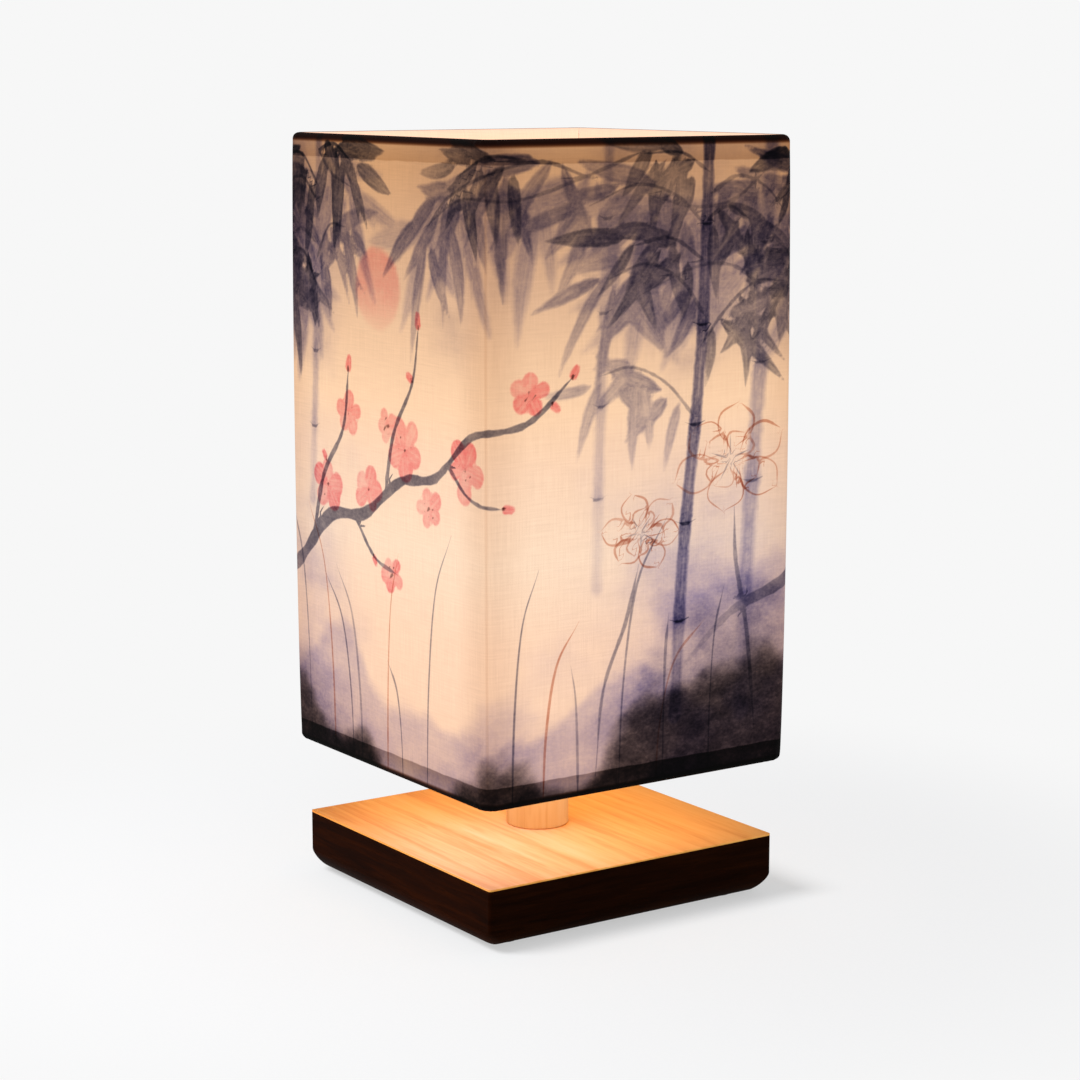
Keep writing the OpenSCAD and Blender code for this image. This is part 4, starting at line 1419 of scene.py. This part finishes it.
        blotch = 0.45 + 0.85 * ease(0.6 * mid + 0.4 * big, 0.36, 0.62)
        bank = humps((98, 38, 1.0), (-112, 24, 0.45), (212, 46, 0.9), (322, 40, 0.9))
        mist = 0.95 * bank * ease(-v - warp, -128, -38) * blotch
        mist += 0.08 * ease(0.5 * big + 0.5 * mid, 0.5, 0.66) * ease(-v, -200, -60)
        ridge = 20 + humps((-96, 26, 30), (-30, 18, 8), (60, 26, 26), (150, 34, 32), (215, 24, 18))
        below = ridge + (mid - 0.5) * 14 + (small - 0.5) * 6 - v
        mist += 0.42 * ease(below, -2.5, 5.0) * np.exp(-np.clip(below, 0, None) / 20)
        top = -10 + humps(
            (112, 36, 54), (66, 26, 30), (3, 24, 24), (-124, 22, 30),
            (-80, 18, 18), (190, 36, 42), (250, 26, 30), (330, 36, 44),
        )
        above = v - top - (mid - 0.5) * 20 - (small - 0.5) * 8
        soot = 2.1 * ease(-above, -6, 7) * (0.85 + 0.3 * mid)
        soot += 0.75 * ease(-above, -26, 4) * bank * (0.6 + 0.8 * mid)
        mist += 0.35 * ease(-above, -30, 0)
        behind = humps((84, 34, 0.9), (-116, 20, 1.0), (-4, 26, 0.7), (346, 36, 1.0))
        behind = behind * ease(v + 1.3 * warp, 138, 184)
        mist += 0.40 * behind * blotch
        soot += 0.30 * behind * ease(mid, 0.42, 0.72)
        disc = np.hypot(gap(-66), v - 168) - 14.0 + (small - 0.5) * 2.0
        sun = ease(-disc, -1.0, 1.4) * (0.2 + 0.8 * ease(v, 150, 176)) * (0.8 + 0.4 * mid)
        return np.stack([mist, soot, sun], axis=1)

    def paint(self, mesh: bpy.types.Mesh, rows: np.ndarray) -> None:
        """Paints the whole print and writes it to the cloth.

        Args:
            mesh: The cloth's mesh.
            rows: Numbers of the vertices on the printed face.
        """
        self.compose()
        for layer, marks in self.layers.items():
            marks.store(mesh, layer.value, rows)
        values = np.zeros((len(mesh.vertices), 3), np.float32)
        values[rows] = self.washes()
        mesh.attributes.new("washes", "FLOAT_VECTOR", "POINT").data.foreach_set("vector", values.ravel())

    def compose(self) -> None:
        """Paints every motif in its places round the shade."""
        for shift in (0.0, 262.0):
            self.grove(shift)
        for shift in (0.0, 254.0):
            self.thicket(shift)
        for shift in (0.0, 250.0):
            self.plum(shift)
        self.undergrowth()


# Sub-assemblies


@dataclass
class Shade:
    """Square shade: printed cloth rolled round two wires, over a stiff liner on a spider."""

    shelf: FinishShelf
    side_mm: float = SIDE_MM
    corner_mm: float = 6.0
    # The liner is creased at the corners, so that they tighten between the wires
    crease_mm: float = 3.0
    cloth_mm: float = 0.6
    liner_mm: float = 0.8
    wire_mm: float = 3.0
    roll_gap_mm: float = 0.1
    hem_mm: float = HEM_MM
    lap_mm: float = 7.0
    lap_gap_mm: float = 0.08
    bow_mm: float = 0.25
    pucker_mm: float = 0.10
    # Rows up the printed face, and columns in the last stretch before a corner and in between
    rows: int = 156
    corner_steps: int = 13
    side_steps: int = 84
    near_corner_mm: float = 7.5

    def __post_init__(self) -> None:
        """Reads the shade's place from the frame."""
        low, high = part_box("shade_fabric")
        self.foot, self.height_mm = low.z, (high.z - low.z) / MM
        self.roll_mm = self.wire_mm / 2 + self.roll_gap_mm + self.cloth_mm

    def section(self) -> tuple[np.ndarray, int]:
        """Draws the cloth's section: its printed face from inner hem to inner hem, and its back again.

        Returns:
            Rows of depth behind the face, height, and way along the cloth from the nearer rim, which is
            negative where it is turned in. Then how many of the rows are on the printed face.
        """
        roll, cloth = self.roll_mm, self.cloth_mm
        back = cloth + self.liner_mm
        leave = roll + self.wire_mm / 3
        half = []
        for shift, steps in ((0.0, 12), (cloth, 8)):
            radius = roll - shift
            tail = [(back + cloth - shift, self.hem_mm), (2 * roll - shift, leave)]
            fold = [
                (roll + radius * math.cos(-a), roll + radius * math.sin(-a))
                for a in np.linspace(0.0, math.pi, steps + 1)
            ]
            near = (np.array(tail[0]) + tail[1]) / 2
            half.append(np.array([tail[0], near, tail[1], *fold]))
        outer, inner = half
        heights = np.linspace(roll, self.height_mm - roll, self.rows + 1)[1:-1]
        face = np.c_[np.zeros(len(heights)), heights]
        behind = np.array([(cloth, z) for z in np.linspace(roll, self.height_mm - roll, 8)[1:-1]])
        up = np.array([1.0, -1.0])

        def flipped(part: np.ndarray) -> np.ndarray:
            """Turns a lower part over to the upper edge."""
            return (part * up + [0.0, self.height_mm])[::-1]

        front = np.vstack([outer, face, flipped(outer)])
        rear = np.vstack([flipped(inner)[::-1], behind[::-1], inner[::-1]])
        run = np.r_[0.0, np.cumsum(np.hypot(*np.diff(front, axis=0).T))]
        rims = [run[int(np.argmin(front[:, 1]))], run[int(np.argmax(front[:, 1]))]]
        from_rim = np.minimum(run - rims[0], rims[1] - run)
        rear_rim = np.full(len(rear), self.hem_mm * 2)
        rows = np.c_[np.vstack([front, rear]), np.r_[from_rim, rear_rim]]
        return rows, len(front)

    def columns(self) -> np.ndarray:
        """Sets out the sheet's columns, closer together at the corners.

        Returns:
            Their places round the shade, from the back corner round to it, in millimetres.
        """
        near, side = self.near_corner_mm, self.side_mm
        one = np.r_[
            np.linspace(0.0, near, self.corner_steps, endpoint=False),
            np.linspace(near, side - near, self.side_steps, endpoint=False),
            np.linspace(side - near, side, self.corner_steps, endpoint=False),
        ]
        start = -2 * side
        lap = start + 4 * side + np.linspace(0.0, self.lap_mm, 8)
        return np.r_[np.concatenate([start + k * side + one for k in range(4)]), lap]

    def place(
        self, around: np.ndarray, depth: np.ndarray, radius: np.ndarray
    ) -> tuple[np.ndarray, np.ndarray]:
        """Bends flat columns round the square.

        Args:
            around: Places round the shade from the front corner, in millimetres.
            depth: How far behind the printed face.
            radius: The corner's radius.

        Returns:
            Points and outward normals in the plane, in millimetres.
        """
        half = self.side_mm / 2
        face = np.floor(around / self.side_mm)
        along = around - face * self.side_mm - half
        past = np.clip((np.abs(along) - (half - radius)) / radius, 0.0, 1.0)
        angle = np.sign(along) * past * math.pi / 4
        straight = np.clip(along, -(half - radius), half - radius)
        turn = radius - depth
        x = straight + turn * np.sin(angle)
        y = -(half - radius) - turn * np.cos(angle)
        nx, ny = np.sin(angle), -np.cos(angle)
        spin = face * math.pi / 2
        c, s = np.cos(spin), np.sin(spin)
        return np.stack([x * c - y * s, x * s + y * c], -1), np.stack([nx * c - ny * s, nx * s + ny * c], -1)

    def build_cloth(self) -> bpy.types.Object:
        """Makes the cloth as one closed sheet with rolled edges and a lapped back corner, and paints it.

        Returns:
            The new object.
        """
        section, printed = self.section()
        around = self.columns()
        depth, height, rim = (section[:, k][:, None] for k in range(3))
        share = height / self.height_mm
        slack = np.sin(math.pi * np.clip(share, 0.0, 1.0))
        radius = self.corner_mm - (self.corner_mm - self.crease_mm) * slack**0.5
        grid = np.broadcast_to(around, (len(section), len(around)))
        depths, radii = (np.broadcast_to(column, grid.shape) for column in (depth, radius))
        flat, normal = self.place(grid, depths, radii)
        out = self.stand_off(grid, height, rim, slack)
        flat = flat + normal * out[..., None]
        points = np.concatenate([flat, np.broadcast_to(height, grid.shape)[..., None]], axis=-1) * MM
        points[..., 2] += self.foot
        obj = grid_mesh("shade_cloth", points, close_rows=True, close_columns=False)
        self.close_ends(obj, len(section), len(around))
        obj.data.set_sharp_from_angle(angle=math.radians(60))
        self.unroll(obj, grid, height, rim)
        faces = np.arange(printed * len(around))
        v = np.broadcast_to(height, grid.shape)[:printed].ravel()
        Painting(grid[:printed].ravel().copy(), v.copy()).paint(obj.data, faces)
        return obj

    def stand_off(
        self, around: np.ndarray, height: np.ndarray, rim: np.ndarray, slack: np.ndarray
    ) -> np.ndarray:
        """Gives how far the cloth stands off its plain shape: a slight bow, puckers in the hems, and the lap.

        Args:
            around: Places round the shade from the front corner.
            height: Heights above the lower edge.
            rim: Way along the cloth from the nearer rim.
            slack: How free of the wires the cloth is, from 0 to 1.

        Returns:
            Distances outward in millimetres.
        """
        along = around - np.floor(around / self.side_mm) * self.side_mm - self.side_mm / 2
        flatness = np.cos(math.pi * along / self.side_mm)
        bow = self.bow_mm * slack * flatness
        to_corner = self.side_mm / 2 - np.abs(along)
        pucker = self.pucker_mm * np.sin(around * 1.9 + 0.6 * height)
        pucker = pucker * ease(-np.abs(rim), -self.hem_mm, -2.0) * ease(-to_corner, -26, -8)
        lapped = around - 2 * self.side_mm
        lap = (self.cloth_mm + self.lap_gap_mm) * ease(lapped, -5.0, -0.5)
        return bow + pucker + lap

    def close_ends(self, obj: bpy.types.Object, rows: int, columns: int) -> None:
        """Closes the two cut ends of the sheet with strips.

        Args:
            obj: The cloth, whose rows are closed.
            rows: How many points go round its section.
            columns: How many columns it has.
        """
        printed = self.section()[1]
        back = rows - printed
        mesh = obj.data
        faces = []
        for column, flip in ((0, False), (columns - 1, True)):
            front = [r * columns + column for r in range(printed)]
            rear = [r * columns + column for r in range(rows - 1, rows - 1 - back, -1)]
            i = j = 0
            while i < len(front) - 1 or j < len(rear) - 1:
                ahead = (i + 1) / (len(front) - 1) <= (j + 1) / (len(rear) - 1) if j < len(rear) - 1 else True
                if i < len(front) - 1 and ahead:
                    face = (front[i], front[i + 1], rear[j])
                    i += 1
                else:
                    face = (front[i], rear[j + 1], rear[j])
                    j += 1
                faces.append(face[::-1] if flip else face)
        kept = [tuple(p.vertices) for p in mesh.polygons]
        points = [tuple(v.co) for v in mesh.vertices]
        mesh.clear_geometry()
        mesh.from_pydata(points, [], kept + faces)
        mesh.polygons.foreach_set("use_smooth", np.ones(len(mesh.polygons), bool))

    def unroll(self, obj: bpy.types.Object, around: np.ndarray, height: np.ndarray, rim: np.ndarray) -> None:
        """Stores the flat cloth's measure, as an attribute and as a UV map.

        Args:
            obj: The cloth.
            around: Places round the shade.
            height: Heights above the lower edge.
            rim: Way along the cloth from the nearer rim.
        """
        mesh = obj.data
        flat = np.stack(
            [around, np.broadcast_to(height, around.shape), np.broadcast_to(rim, around.shape)], axis=-1
        ).reshape(-1, 3)
        measure = mesh.attributes.new("flat_mm", "FLOAT_VECTOR", "POINT")
        measure.data.foreach_set("vector", flat.astype(np.float32).ravel())
        layer = mesh.uv_layers.new(name="flat_cloth")
        corners = np.zeros(len(mesh.loops), int)
        mesh.loops.foreach_get("vertex_index", corners)
        layer.data.foreach_set("uv", (flat[corners][:, :2] * MM).astype(np.float32).ravel())

    def build(self) -> list[bpy.types.Object]:
        """Builds and dresses the shade.

        Returns:
            Its new pieces.
        """
        cloth = self.build_cloth()
        put_material(cloth, PrintedCloth(height_mm=self.height_mm, hem_mm=self.hem_mm).build())
        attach(cloth, "shade")
        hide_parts("shade_fabric")
        self.shelf.dress("shade_liner", "top_wire", "bottom_wire", "fitter_ring")
        self.shelf.dress(*(f"spider_arm_{k}" for k in range(1, 5)))
        return [cloth]


@dataclass
class Base:
    """Near-black block with its veneer, pads, post and the tube that clamps them."""

    shelf: FinishShelf
    # An M10 lamp tube has a thread of 1 mm pitch
    thread_pitch: float = 1.0 * MM
    thread_depth: float = 0.32 * MM
    wall: float = 1.2 * MM
    # The lower edges are rounded by this radius
    under: float = 6.0 * MM
    # The upright edges are nearly sharp above, and rounder by foot_corner where they meet the lower ones,
    # from the height of round_to down
    upright_corner: float = 1.0 * MM
    foot_corner: float = 6.5 * MM
    round_to: float = 7.5 * MM
    # The form to sand to stands this far off the flat faces
    clear: float = 0.05 * MM
    arc_steps: int = 12
    # Faces that meet at less than this run smoothly into each other
    smooth_below: float = math.radians(24)
    # Length of the tube, from its lower end, that has the thread drawn
    threaded: float = 12 * MM

    def round_form(self) -> bpy.types.Object:
        """Makes the form that the block is sanded to: just outside it but for the lower corners.

        Returns:
            The new object.
        """
        low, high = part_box("base_block")
        angles = np.linspace(0.0, math.pi / 2, self.arc_steps + 1)
        rounding = np.linspace(0.0, 1.0, self.arc_steps + 1) ** 1.5 * self.round_to / MM
        points = []
        for rise in (-1.0, *rounding, (high.z - low.z) / MM + 1.0):
            up = max(rise * MM, 0.0)
            inset = self.under - math.sqrt(self.under**2 - max(self.under - up, 0.0) ** 2)
            rounded = 1 - float(ease(np.array(up), 0.0, self.round_to))
            corner = max(self.upright_corner + self.foot_corner * rounded - inset, self.upright_corner)
            centre = high.x - inset + self.clear - corner
            for quarter, (sx, sy) in enumerate(((1, 1), (-1, 1), (-1, -1), (1, -1))):
                for angle in angles + quarter * math.pi / 2:
                    x = sx * centre + corner * math.cos(angle)
                    points.append((x, sy * centre + corner * math.sin(angle), low.z + rise * MM))
        mesh = bpy.data.meshes.new("round_form")
        hull = bmesh.new()
        for point in points:
            hull.verts.new(point)
        made = bmesh.ops.convex_hull(hull, input=hull.verts[:], use_existing_faces=False)
        inner = (*made["geom_interior"], *made["geom_unused"])
        spare = {part for part in inner if isinstance(part, bmesh.types.BMVert)}
        bmesh.ops.delete(hull, geom=list(spare), context="VERTS")
        hull.to_mesh(mesh)
        hull.free()
        form = bpy.data.objects.new("round_form", mesh)
        bpy.context.scene.collection.objects.link(form)
        return form

    def build_block(self) -> bpy.types.Object:
        """Makes the block with its lower corners sanded round.

        Returns:
            The new object.
        """
        block = copied("base_block", "sanded_block")
        form = self.round_form()
        sand = block.modifiers.new("sand", "BOOLEAN")
        sand.operation, sand.solver, sand.object = "INTERSECT", "EXACT", form
        sanded = block.evaluated_get(bpy.context.evaluated_depsgraph_get())
        block.data = bpy.data.meshes.new_from_object(sanded)
        block.modifiers.clear()
        bpy.data.objects.remove(form)
        # Planed faces stay flat, and what is sanded or bored runs smoothly
        block.data.attributes.remove(block.data.attributes["custom_normal"])
        block.data.set_sharp_from_angle(angle=self.smooth_below)
        for face in block.data.polygons:
            face.use_smooth = max(abs(part) for part in face.normal) < SQUARE_ON
        return block

    def build_tube(self) -> bpy.types.Object:
        """Makes the tube with the thread that shows below the nut.

        Returns:
            The new object.
        """
        low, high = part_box("threaded_tube")
        radius = high.x
        end = low.z + self.threaded
        shown = Thread(self.thread_pitch, self.thread_depth, low.z - self.thread_pitch / 2, end)
        outline = [
            (radius - self.wall, low.z),
            (radius, low.z),
            (radius, end),
            (radius, high.z),
            (radius - self.wall, high.z),
        ]
        return turned_part("tube_with_thread", outline, shown, (radius - NEAR, radius + NEAR))

    def build(self) -> list[bpy.types.Object]:
        """Builds and dresses the base.

        Returns:
            Its new pieces.
        """
        block = self.build_block()
        # The block's near-black colour is painted shade of its unlit sides
        put_material(block, self.shelf.made["stained_wood"])
        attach(block, "lamp_base")
        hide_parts("base_block")
        tube = self.build_tube()
        put_material(tube, self.shelf.made["zinc_steel"])
        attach(tube, "lamp_base")
        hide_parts("threaded_tube")
        self.shelf.dress("base_veneer", "post", "tube_washer", "tube_nut", "cord_bush")
        self.shelf.dress(*(f"foot_pad_{k}" for k in range(1, 5)))
        return [block, tube]


@dataclass
class Holder:
    """Lampholder: cap, threaded skirt, insulating core, contacts, and the ring that clamps the shade."""

    shelf: FinishShelf
    # Trapezoid thread of a shade ring, 2.8 mm pitch
    pitch: float = 2.8 * MM
    depth: float = 0.55 * MM
    skirt_wall: float = 2.0 * MM
    skirt: float = 19.5 * MM
    shoulder: float = 2.5 * MM
    spigot: float = 6.0 * MM
    spigot_radius: float = 18.9 * MM
    lip: float = 2.3 * MM
    mouth: float = 15.2 * MM
    edge: float = 0.5 * MM
    # The thread ends this far below the rim of the skirt
    runs_out: float = 1.2 * MM

    def build_skirt(self) -> bpy.types.Object:
        """Makes the holder's shell with the thread that the shade ring runs on.

        Returns:
            The new object.
        """
        low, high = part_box("holder_shell")
        rim = low.z + self.spigot
        top = rim + self.shoulder
        bore, wide, edge = self.skirt - self.skirt_wall, high.x, self.edge
        outline = [
            (bore, low.z), (self.spigot_radius, low.z), (self.spigot_radius, rim), (wide - edge, rim),
            (wide, rim + edge), (wide, top - edge), (wide - edge, top), (self.skirt, top),
            (self.skirt, high.z - edge), (self.skirt - edge, high.z), (self.mouth + edge, high.z),
            (self.mouth, high.z - edge), (self.mouth, high.z - self.lip), (bore, high.z - self.lip),
        ]
        thread = Thread(self.pitch, self.depth, top, high.z - self.runs_out)
        return turned_part("skirt_with_thread", outline, thread, (self.skirt - NEAR, self.skirt + NEAR))

    def build(self) -> list[bpy.types.Object]:
        """Builds and dresses the holder.

        Returns:
            Its new pieces.
        """
        skirt = self.build_skirt()
        put_material(skirt, self.shelf.made["holder_plastic"])
        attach(skirt, "lamp_base")
        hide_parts("holder_shell")
        # The spring is copied with its shape at rest, and hangs on no body
        spring = copied("contact_spring", "shortening_spring")
        put_material(spring, self.shelf.made["spring_steel"])
        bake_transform(spring)
        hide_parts("contact_spring")
        self.shelf.dress(
            "holder_cap", "grub_screw", "holder_core", "screw_shell", "contact_plunger",
            "centre_strip", "side_strip", "terminal_screw_1", "terminal_screw_2", "shade_ring",
        )
        return [skirt, spring]


@dataclass
class Bulb:
    """Screw-in bulb with an opal globe, lit."""

    shelf: FinishShelf
    # Rounded thread of a standard screw cap
    pitch: float = 3.629 * MM
    depth: float = 0.85 * MM
    sheet: float = 0.5 * MM
    taper: float = 1.2 * MM
    lip: float = 3.0 * MM
    # The thread ends this far below the upper edge of the cap
    runs_out: float = 2.5 * MM

    def build_cap(self) -> bpy.types.Object:
        """Makes the pressed screw cap, its sheet following the thread inside and out.

        Returns:
            The new object.
        """
        low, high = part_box("bulb_screw_cap")
        wide, bore = high.x, high.x - self.sheet
        foot = wide - 2 * self.sheet
        shoulder = low.z + self.taper + self.sheet
        outline = [
            (foot - self.lip, low.z), (foot, low.z), (wide, low.z + self.taper), (wide, high.z),
            (bore, high.z), (bore, shoulder), (foot - self.sheet, low.z + self.sheet),
            (foot - self.lip, low.z + self.sheet),
        ]
        thread = Thread(self.pitch, self.depth, shoulder, high.z - self.runs_out)
        return turned_part("cap_with_thread", outline, thread, (bore - NEAR / 2, wide + NEAR / 2))

    def build(self) -> list[bpy.types.Object]:
        """Builds and dresses the bulb.

        Returns:
            Its new pieces.
        """
        cap = self.build_cap()
        put_material(cap, self.shelf.made["nickel_cap"])
        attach(cap, "bulb_cap")
        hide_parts("bulb_screw_cap")
        self.shelf.dress("bulb_insulator", "bulb_tip", "bulb_housing", "led_board", "bulb_globe")
        return [cap]


@dataclass(frozen=True)
class SoftLight:
    """Round soft light."""

    name: str
    at: tuple[float, float, float]
    aim: tuple[float, float, float]
    size: float
    power: float
    colour: str = "#ffffff"
    gloss: bool = True

    def build(
        self, lit: list[bpy.types.Object] | None = None, shadows: list[bpy.types.Object] | None = None
    ) -> bpy.types.Object:
        """Hangs the light.

        Args:
            lit: What it falls on. None is everything.
            shadows: What throws a shadow in it. None is everything.

        Returns:
            The light's object.
        """
        data = bpy.data.lights.new(self.name, "AREA")
        data.shape, data.size, data.energy = "DISK", self.size, self.power
        data.color = linear(self.colour)[:3]
        light = bpy.data.objects.new(self.name, data)
        light.location = self.at
        light.rotation_euler = (Vector(self.aim) - Vector(self.at)).to_track_quat("-Z", "Y").to_euler()
        light.visible_camera, light.visible_glossy = False, self.gloss
        bpy.context.scene.collection.objects.link(light)
        if lit is not None:
            light.light_linking.receiver_collection = collected(self.name + "_lit", lit)
        if shadows is not None:
            light.light_linking.blocker_collection = collected(self.name + "_shadows", shadows)
        return light


def collected(name: str, objects: list[bpy.types.Object]) -> bpy.types.Collection:
    """Gathers objects in a new collection.

    Args:
        name: The collection's name.
        objects: What goes in it.

    Returns:
        The collection.
    """
    group = bpy.data.collections.new(name)
    for obj in objects:
        group.objects.link(obj)
    return group


@dataclass
class Studio:
    """Plain pale floor, soft lights and the camera."""

    backdrop: str = "#f7f7f7"
    floor_size: float = 6.0
    # The floor is shaded near the lamp, where its shadow lies, and plain further out
    shaded_to: float = 0.14
    plain_from: float = 0.30
    least_plain: float = 0.56
    # The floor's matt paint is all but even, with 0.9 faint specks to a millimetre
    specks_per_mm: float = 0.9
    world_strength: float = 0.36
    floor_key: SoftLight = SoftLight("floor_key", (-0.997, 0.257, 1.23), (0.0, 0.0, 0.0), 0.75, 22.5)
    front_fill: SoftLight = SoftLight("front_fill", (-1.0, -1.15, 0.95), (0.0, 0.0, 0.12), 0.9, 12.0)
    low_side: SoftLight = SoftLight(
        "low_side", (-1.1, 0.35, 0.16), (0.0, 0.0, 0.0), 0.3, 9.0, "#ffc08a", gloss=False
    )
    # What comes down through the shade's opening: its warm glow, and the whiter light straight from the bulb
    warm_spill: SoftLight = SoftLight(
        "warm_spill", (-0.012, -0.002, 0.0487), (-0.012, -0.002, 0.0), 0.15, 0.036, "#ffcb84"
    )
    bulb_spill: SoftLight = SoftLight(
        "bulb_spill", (-0.02, -0.02, 0.0486), (-0.02, -0.02, 0.0), 0.09, 0.0075, "#fffaf4"
    )
    # The lit liner's gleam on the oiled veneer between the post and the front corner
    liner_gleam: SoftLight = SoftLight(
        "liner_gleam", (-0.040, -0.020, 0.064), (-0.045, -0.028, 0.0225), 0.07, 0.075, "#5a7aff"
    )
    # Makes the veneer's thin edge show as a bright line along the front
    edge_light: SoftLight = SoftLight(
        "edge_light", (0.25, -1.2, 0.03), (0.0, 0.0, 0.022), 0.3, 5.0, "#ffd9a6", gloss=False
    )
    camera_at: tuple[float, float, float] = (-0.5307, -0.7791, 0.2923)
    azimuth: float = -34.320
    pitch: float = 10.004
    lens: float = 89.71
    sensor: float = 36.0

    def build_world(self) -> None:
        """Makes the even white surroundings, shown at the backdrop's colour."""
        world = bpy.data.worlds.new("studio")
        bpy.context.scene.world = world
        world.use_nodes = True
        g = Graph.of(world.node_tree)
        light = g.add("Background", {"Color": (1.0, 1.0, 1.0, 1.0), "Strength": self.world_strength})
        shown = g.add("Background", {"Color": linear(self.backdrop), "Strength": 1.0})
        g.add("OutputWorld", {"Surface": g.add("MixShader", {0: seen_directly(g), 1: light, 2: shown})})

    def build_floor(self) -> bpy.types.Object:
        """Makes the pale floor, which keeps the lamp's shadow and runs out into the backdrop.

        Returns:
            The new object.
        """
        half = self.floor_size / 2
        mesh = bpy.data.meshes.new("floor")
        corners = [(-half, -half, 0), (half, -half, 0), (half, half, 0), (-half, half, 0)]
        mesh.from_pydata(corners, [], [(0, 1, 2, 3)])
        floor = bpy.data.objects.new("floor", mesh)
        bpy.context.scene.collection.objects.link(floor)
        # Smooth board under matt white paint: it shows the shadow softly and mirrors nothing
        g = Graph("matt_painted_board")
        place = g.add("TexCoord").outputs["Object"]
        far = g.add("VectorMath", {0: place}, operation="LENGTH").outputs["Value"]
        reach = {"From Min": self.shaded_to, "From Max": self.plain_from, "To Min": self.least_plain}
        share = g.add("MapRange", {"Value": far, **reach}, interpolation_type="SMOOTHSTEP")
        speck = g.add("TexNoise", {"Vector": place, "Scale": self.specks_per_mm / MM, "Detail": 2.0})
        tone = g.add("ValToRGB", {"Fac": speck}, [(0.3, "#f2f3f5"), (0.7, "#f5f6f8")])
        shaded = g.add("BsdfDiffuse", {"Color": tone})
        plain = g.add("Emission", {"Color": linear(self.backdrop), "Strength": 1.0})
        share = g.add("Math", {0: share, 1: seen_directly(g)}, operation="MULTIPLY")
        put_material(floor, g.finish("MixShader", {0: share, 1: shaded, 2: plain}))
        return floor

    def build_lights(self, floor: bpy.types.Object, pieces: list[bpy.types.Object]) -> None:
        """Adds the studio's lights, and keeps the lamp's own glow to the lamp.

        Args:
            floor: The studio floor, with a light of its own that only the base shades.
            pieces: Every piece and CAD node of the lamp.
        """
        nodes = frame["nodes"]
        low = [bpy.data.objects["sanded_block"], nodes["base_veneer"]]
        self.floor_key.build(lit=[floor], shadows=low)
        below = [*low, nodes["post"]]
        self.front_fill.build(lit=[piece for piece in pieces if piece not in below])
        self.warm_spill.build(lit=low)
        self.bulb_spill.build(lit=below)
        self.low_side.build(lit=low)
        self.edge_light.build(lit=[nodes["base_veneer"]])
        self.liner_gleam.build(lit=[nodes["base_veneer"]], shadows=below)
        own = collected("lit_by_bulb", pieces)
        glowing = (nodes[name] for name in ("shade_liner", "bulb_globe", "bulb_housing"))
        for obj in (bpy.data.objects["shade_cloth"], *glowing):
            obj.light_linking.receiver_collection = own

    def build_camera(self) -> None:
        """Sets the camera at the photograph's viewing angle."""
        data = bpy.data.cameras.new("camera")
        data.sensor_width, data.lens = self.sensor, self.lens
        camera = bpy.data.objects.new("camera", data)
        a, e = math.radians(self.azimuth), math.radians(self.pitch)
        back = Vector((math.sin(a) * math.cos(e), -math.cos(a) * math.cos(e), math.sin(e)))
        camera.location = self.camera_at
        camera.rotation_euler = (-back).to_track_quat("-Z", "Y").to_euler()
        bpy.context.scene.collection.objects.link(camera)
        bpy.context.scene.camera = camera


def seen_directly(g: Graph) -> bpy.types.Node:
    """Tells rays that see from rays that bring light.

    Args:
        g: The node tree of the floor or the world.

    Returns:
        A node that gives 1 for a ray from the camera, a gloss or a clear part, and otherwise 0.
    """
    path = g.add("LightPath")
    camera, gloss, clear = (path.outputs[f"Is {kind} Ray"] for kind in ("Camera", "Glossy", "Transmission"))
    seen = g.add("Math", {0: camera, 1: gloss}, operation="MAXIMUM")
    return g.add("Math", {0: seen, 1: clear}, operation="MAXIMUM")


def main() -> None:
    """Builds the lamp, its studio and its camera, and reports each new piece."""
    logging.basicConfig(level=logging.INFO, format="%(name)s: %(message)s")
    bpy.context.scene.view_settings.view_transform = "Standard"
    shelf = FinishShelf()
    pieces: list[bpy.types.Object] = []
    for part in (Base(shelf), Holder(shelf), Bulb(shelf), Shade(shelf)):
        for piece in part.build():
            LOG.info("%s: %s with %d faces", type(part).__name__, piece.name, len(piece.data.polygons))
            pieces.append(piece)
    studio = Studio()
    studio.build_world()
    floor = studio.build_floor()
    studio.build_lights(floor, [*pieces, *frame["nodes"].values()])
    studio.build_camera()


if __name__ == "__main__":
    main()
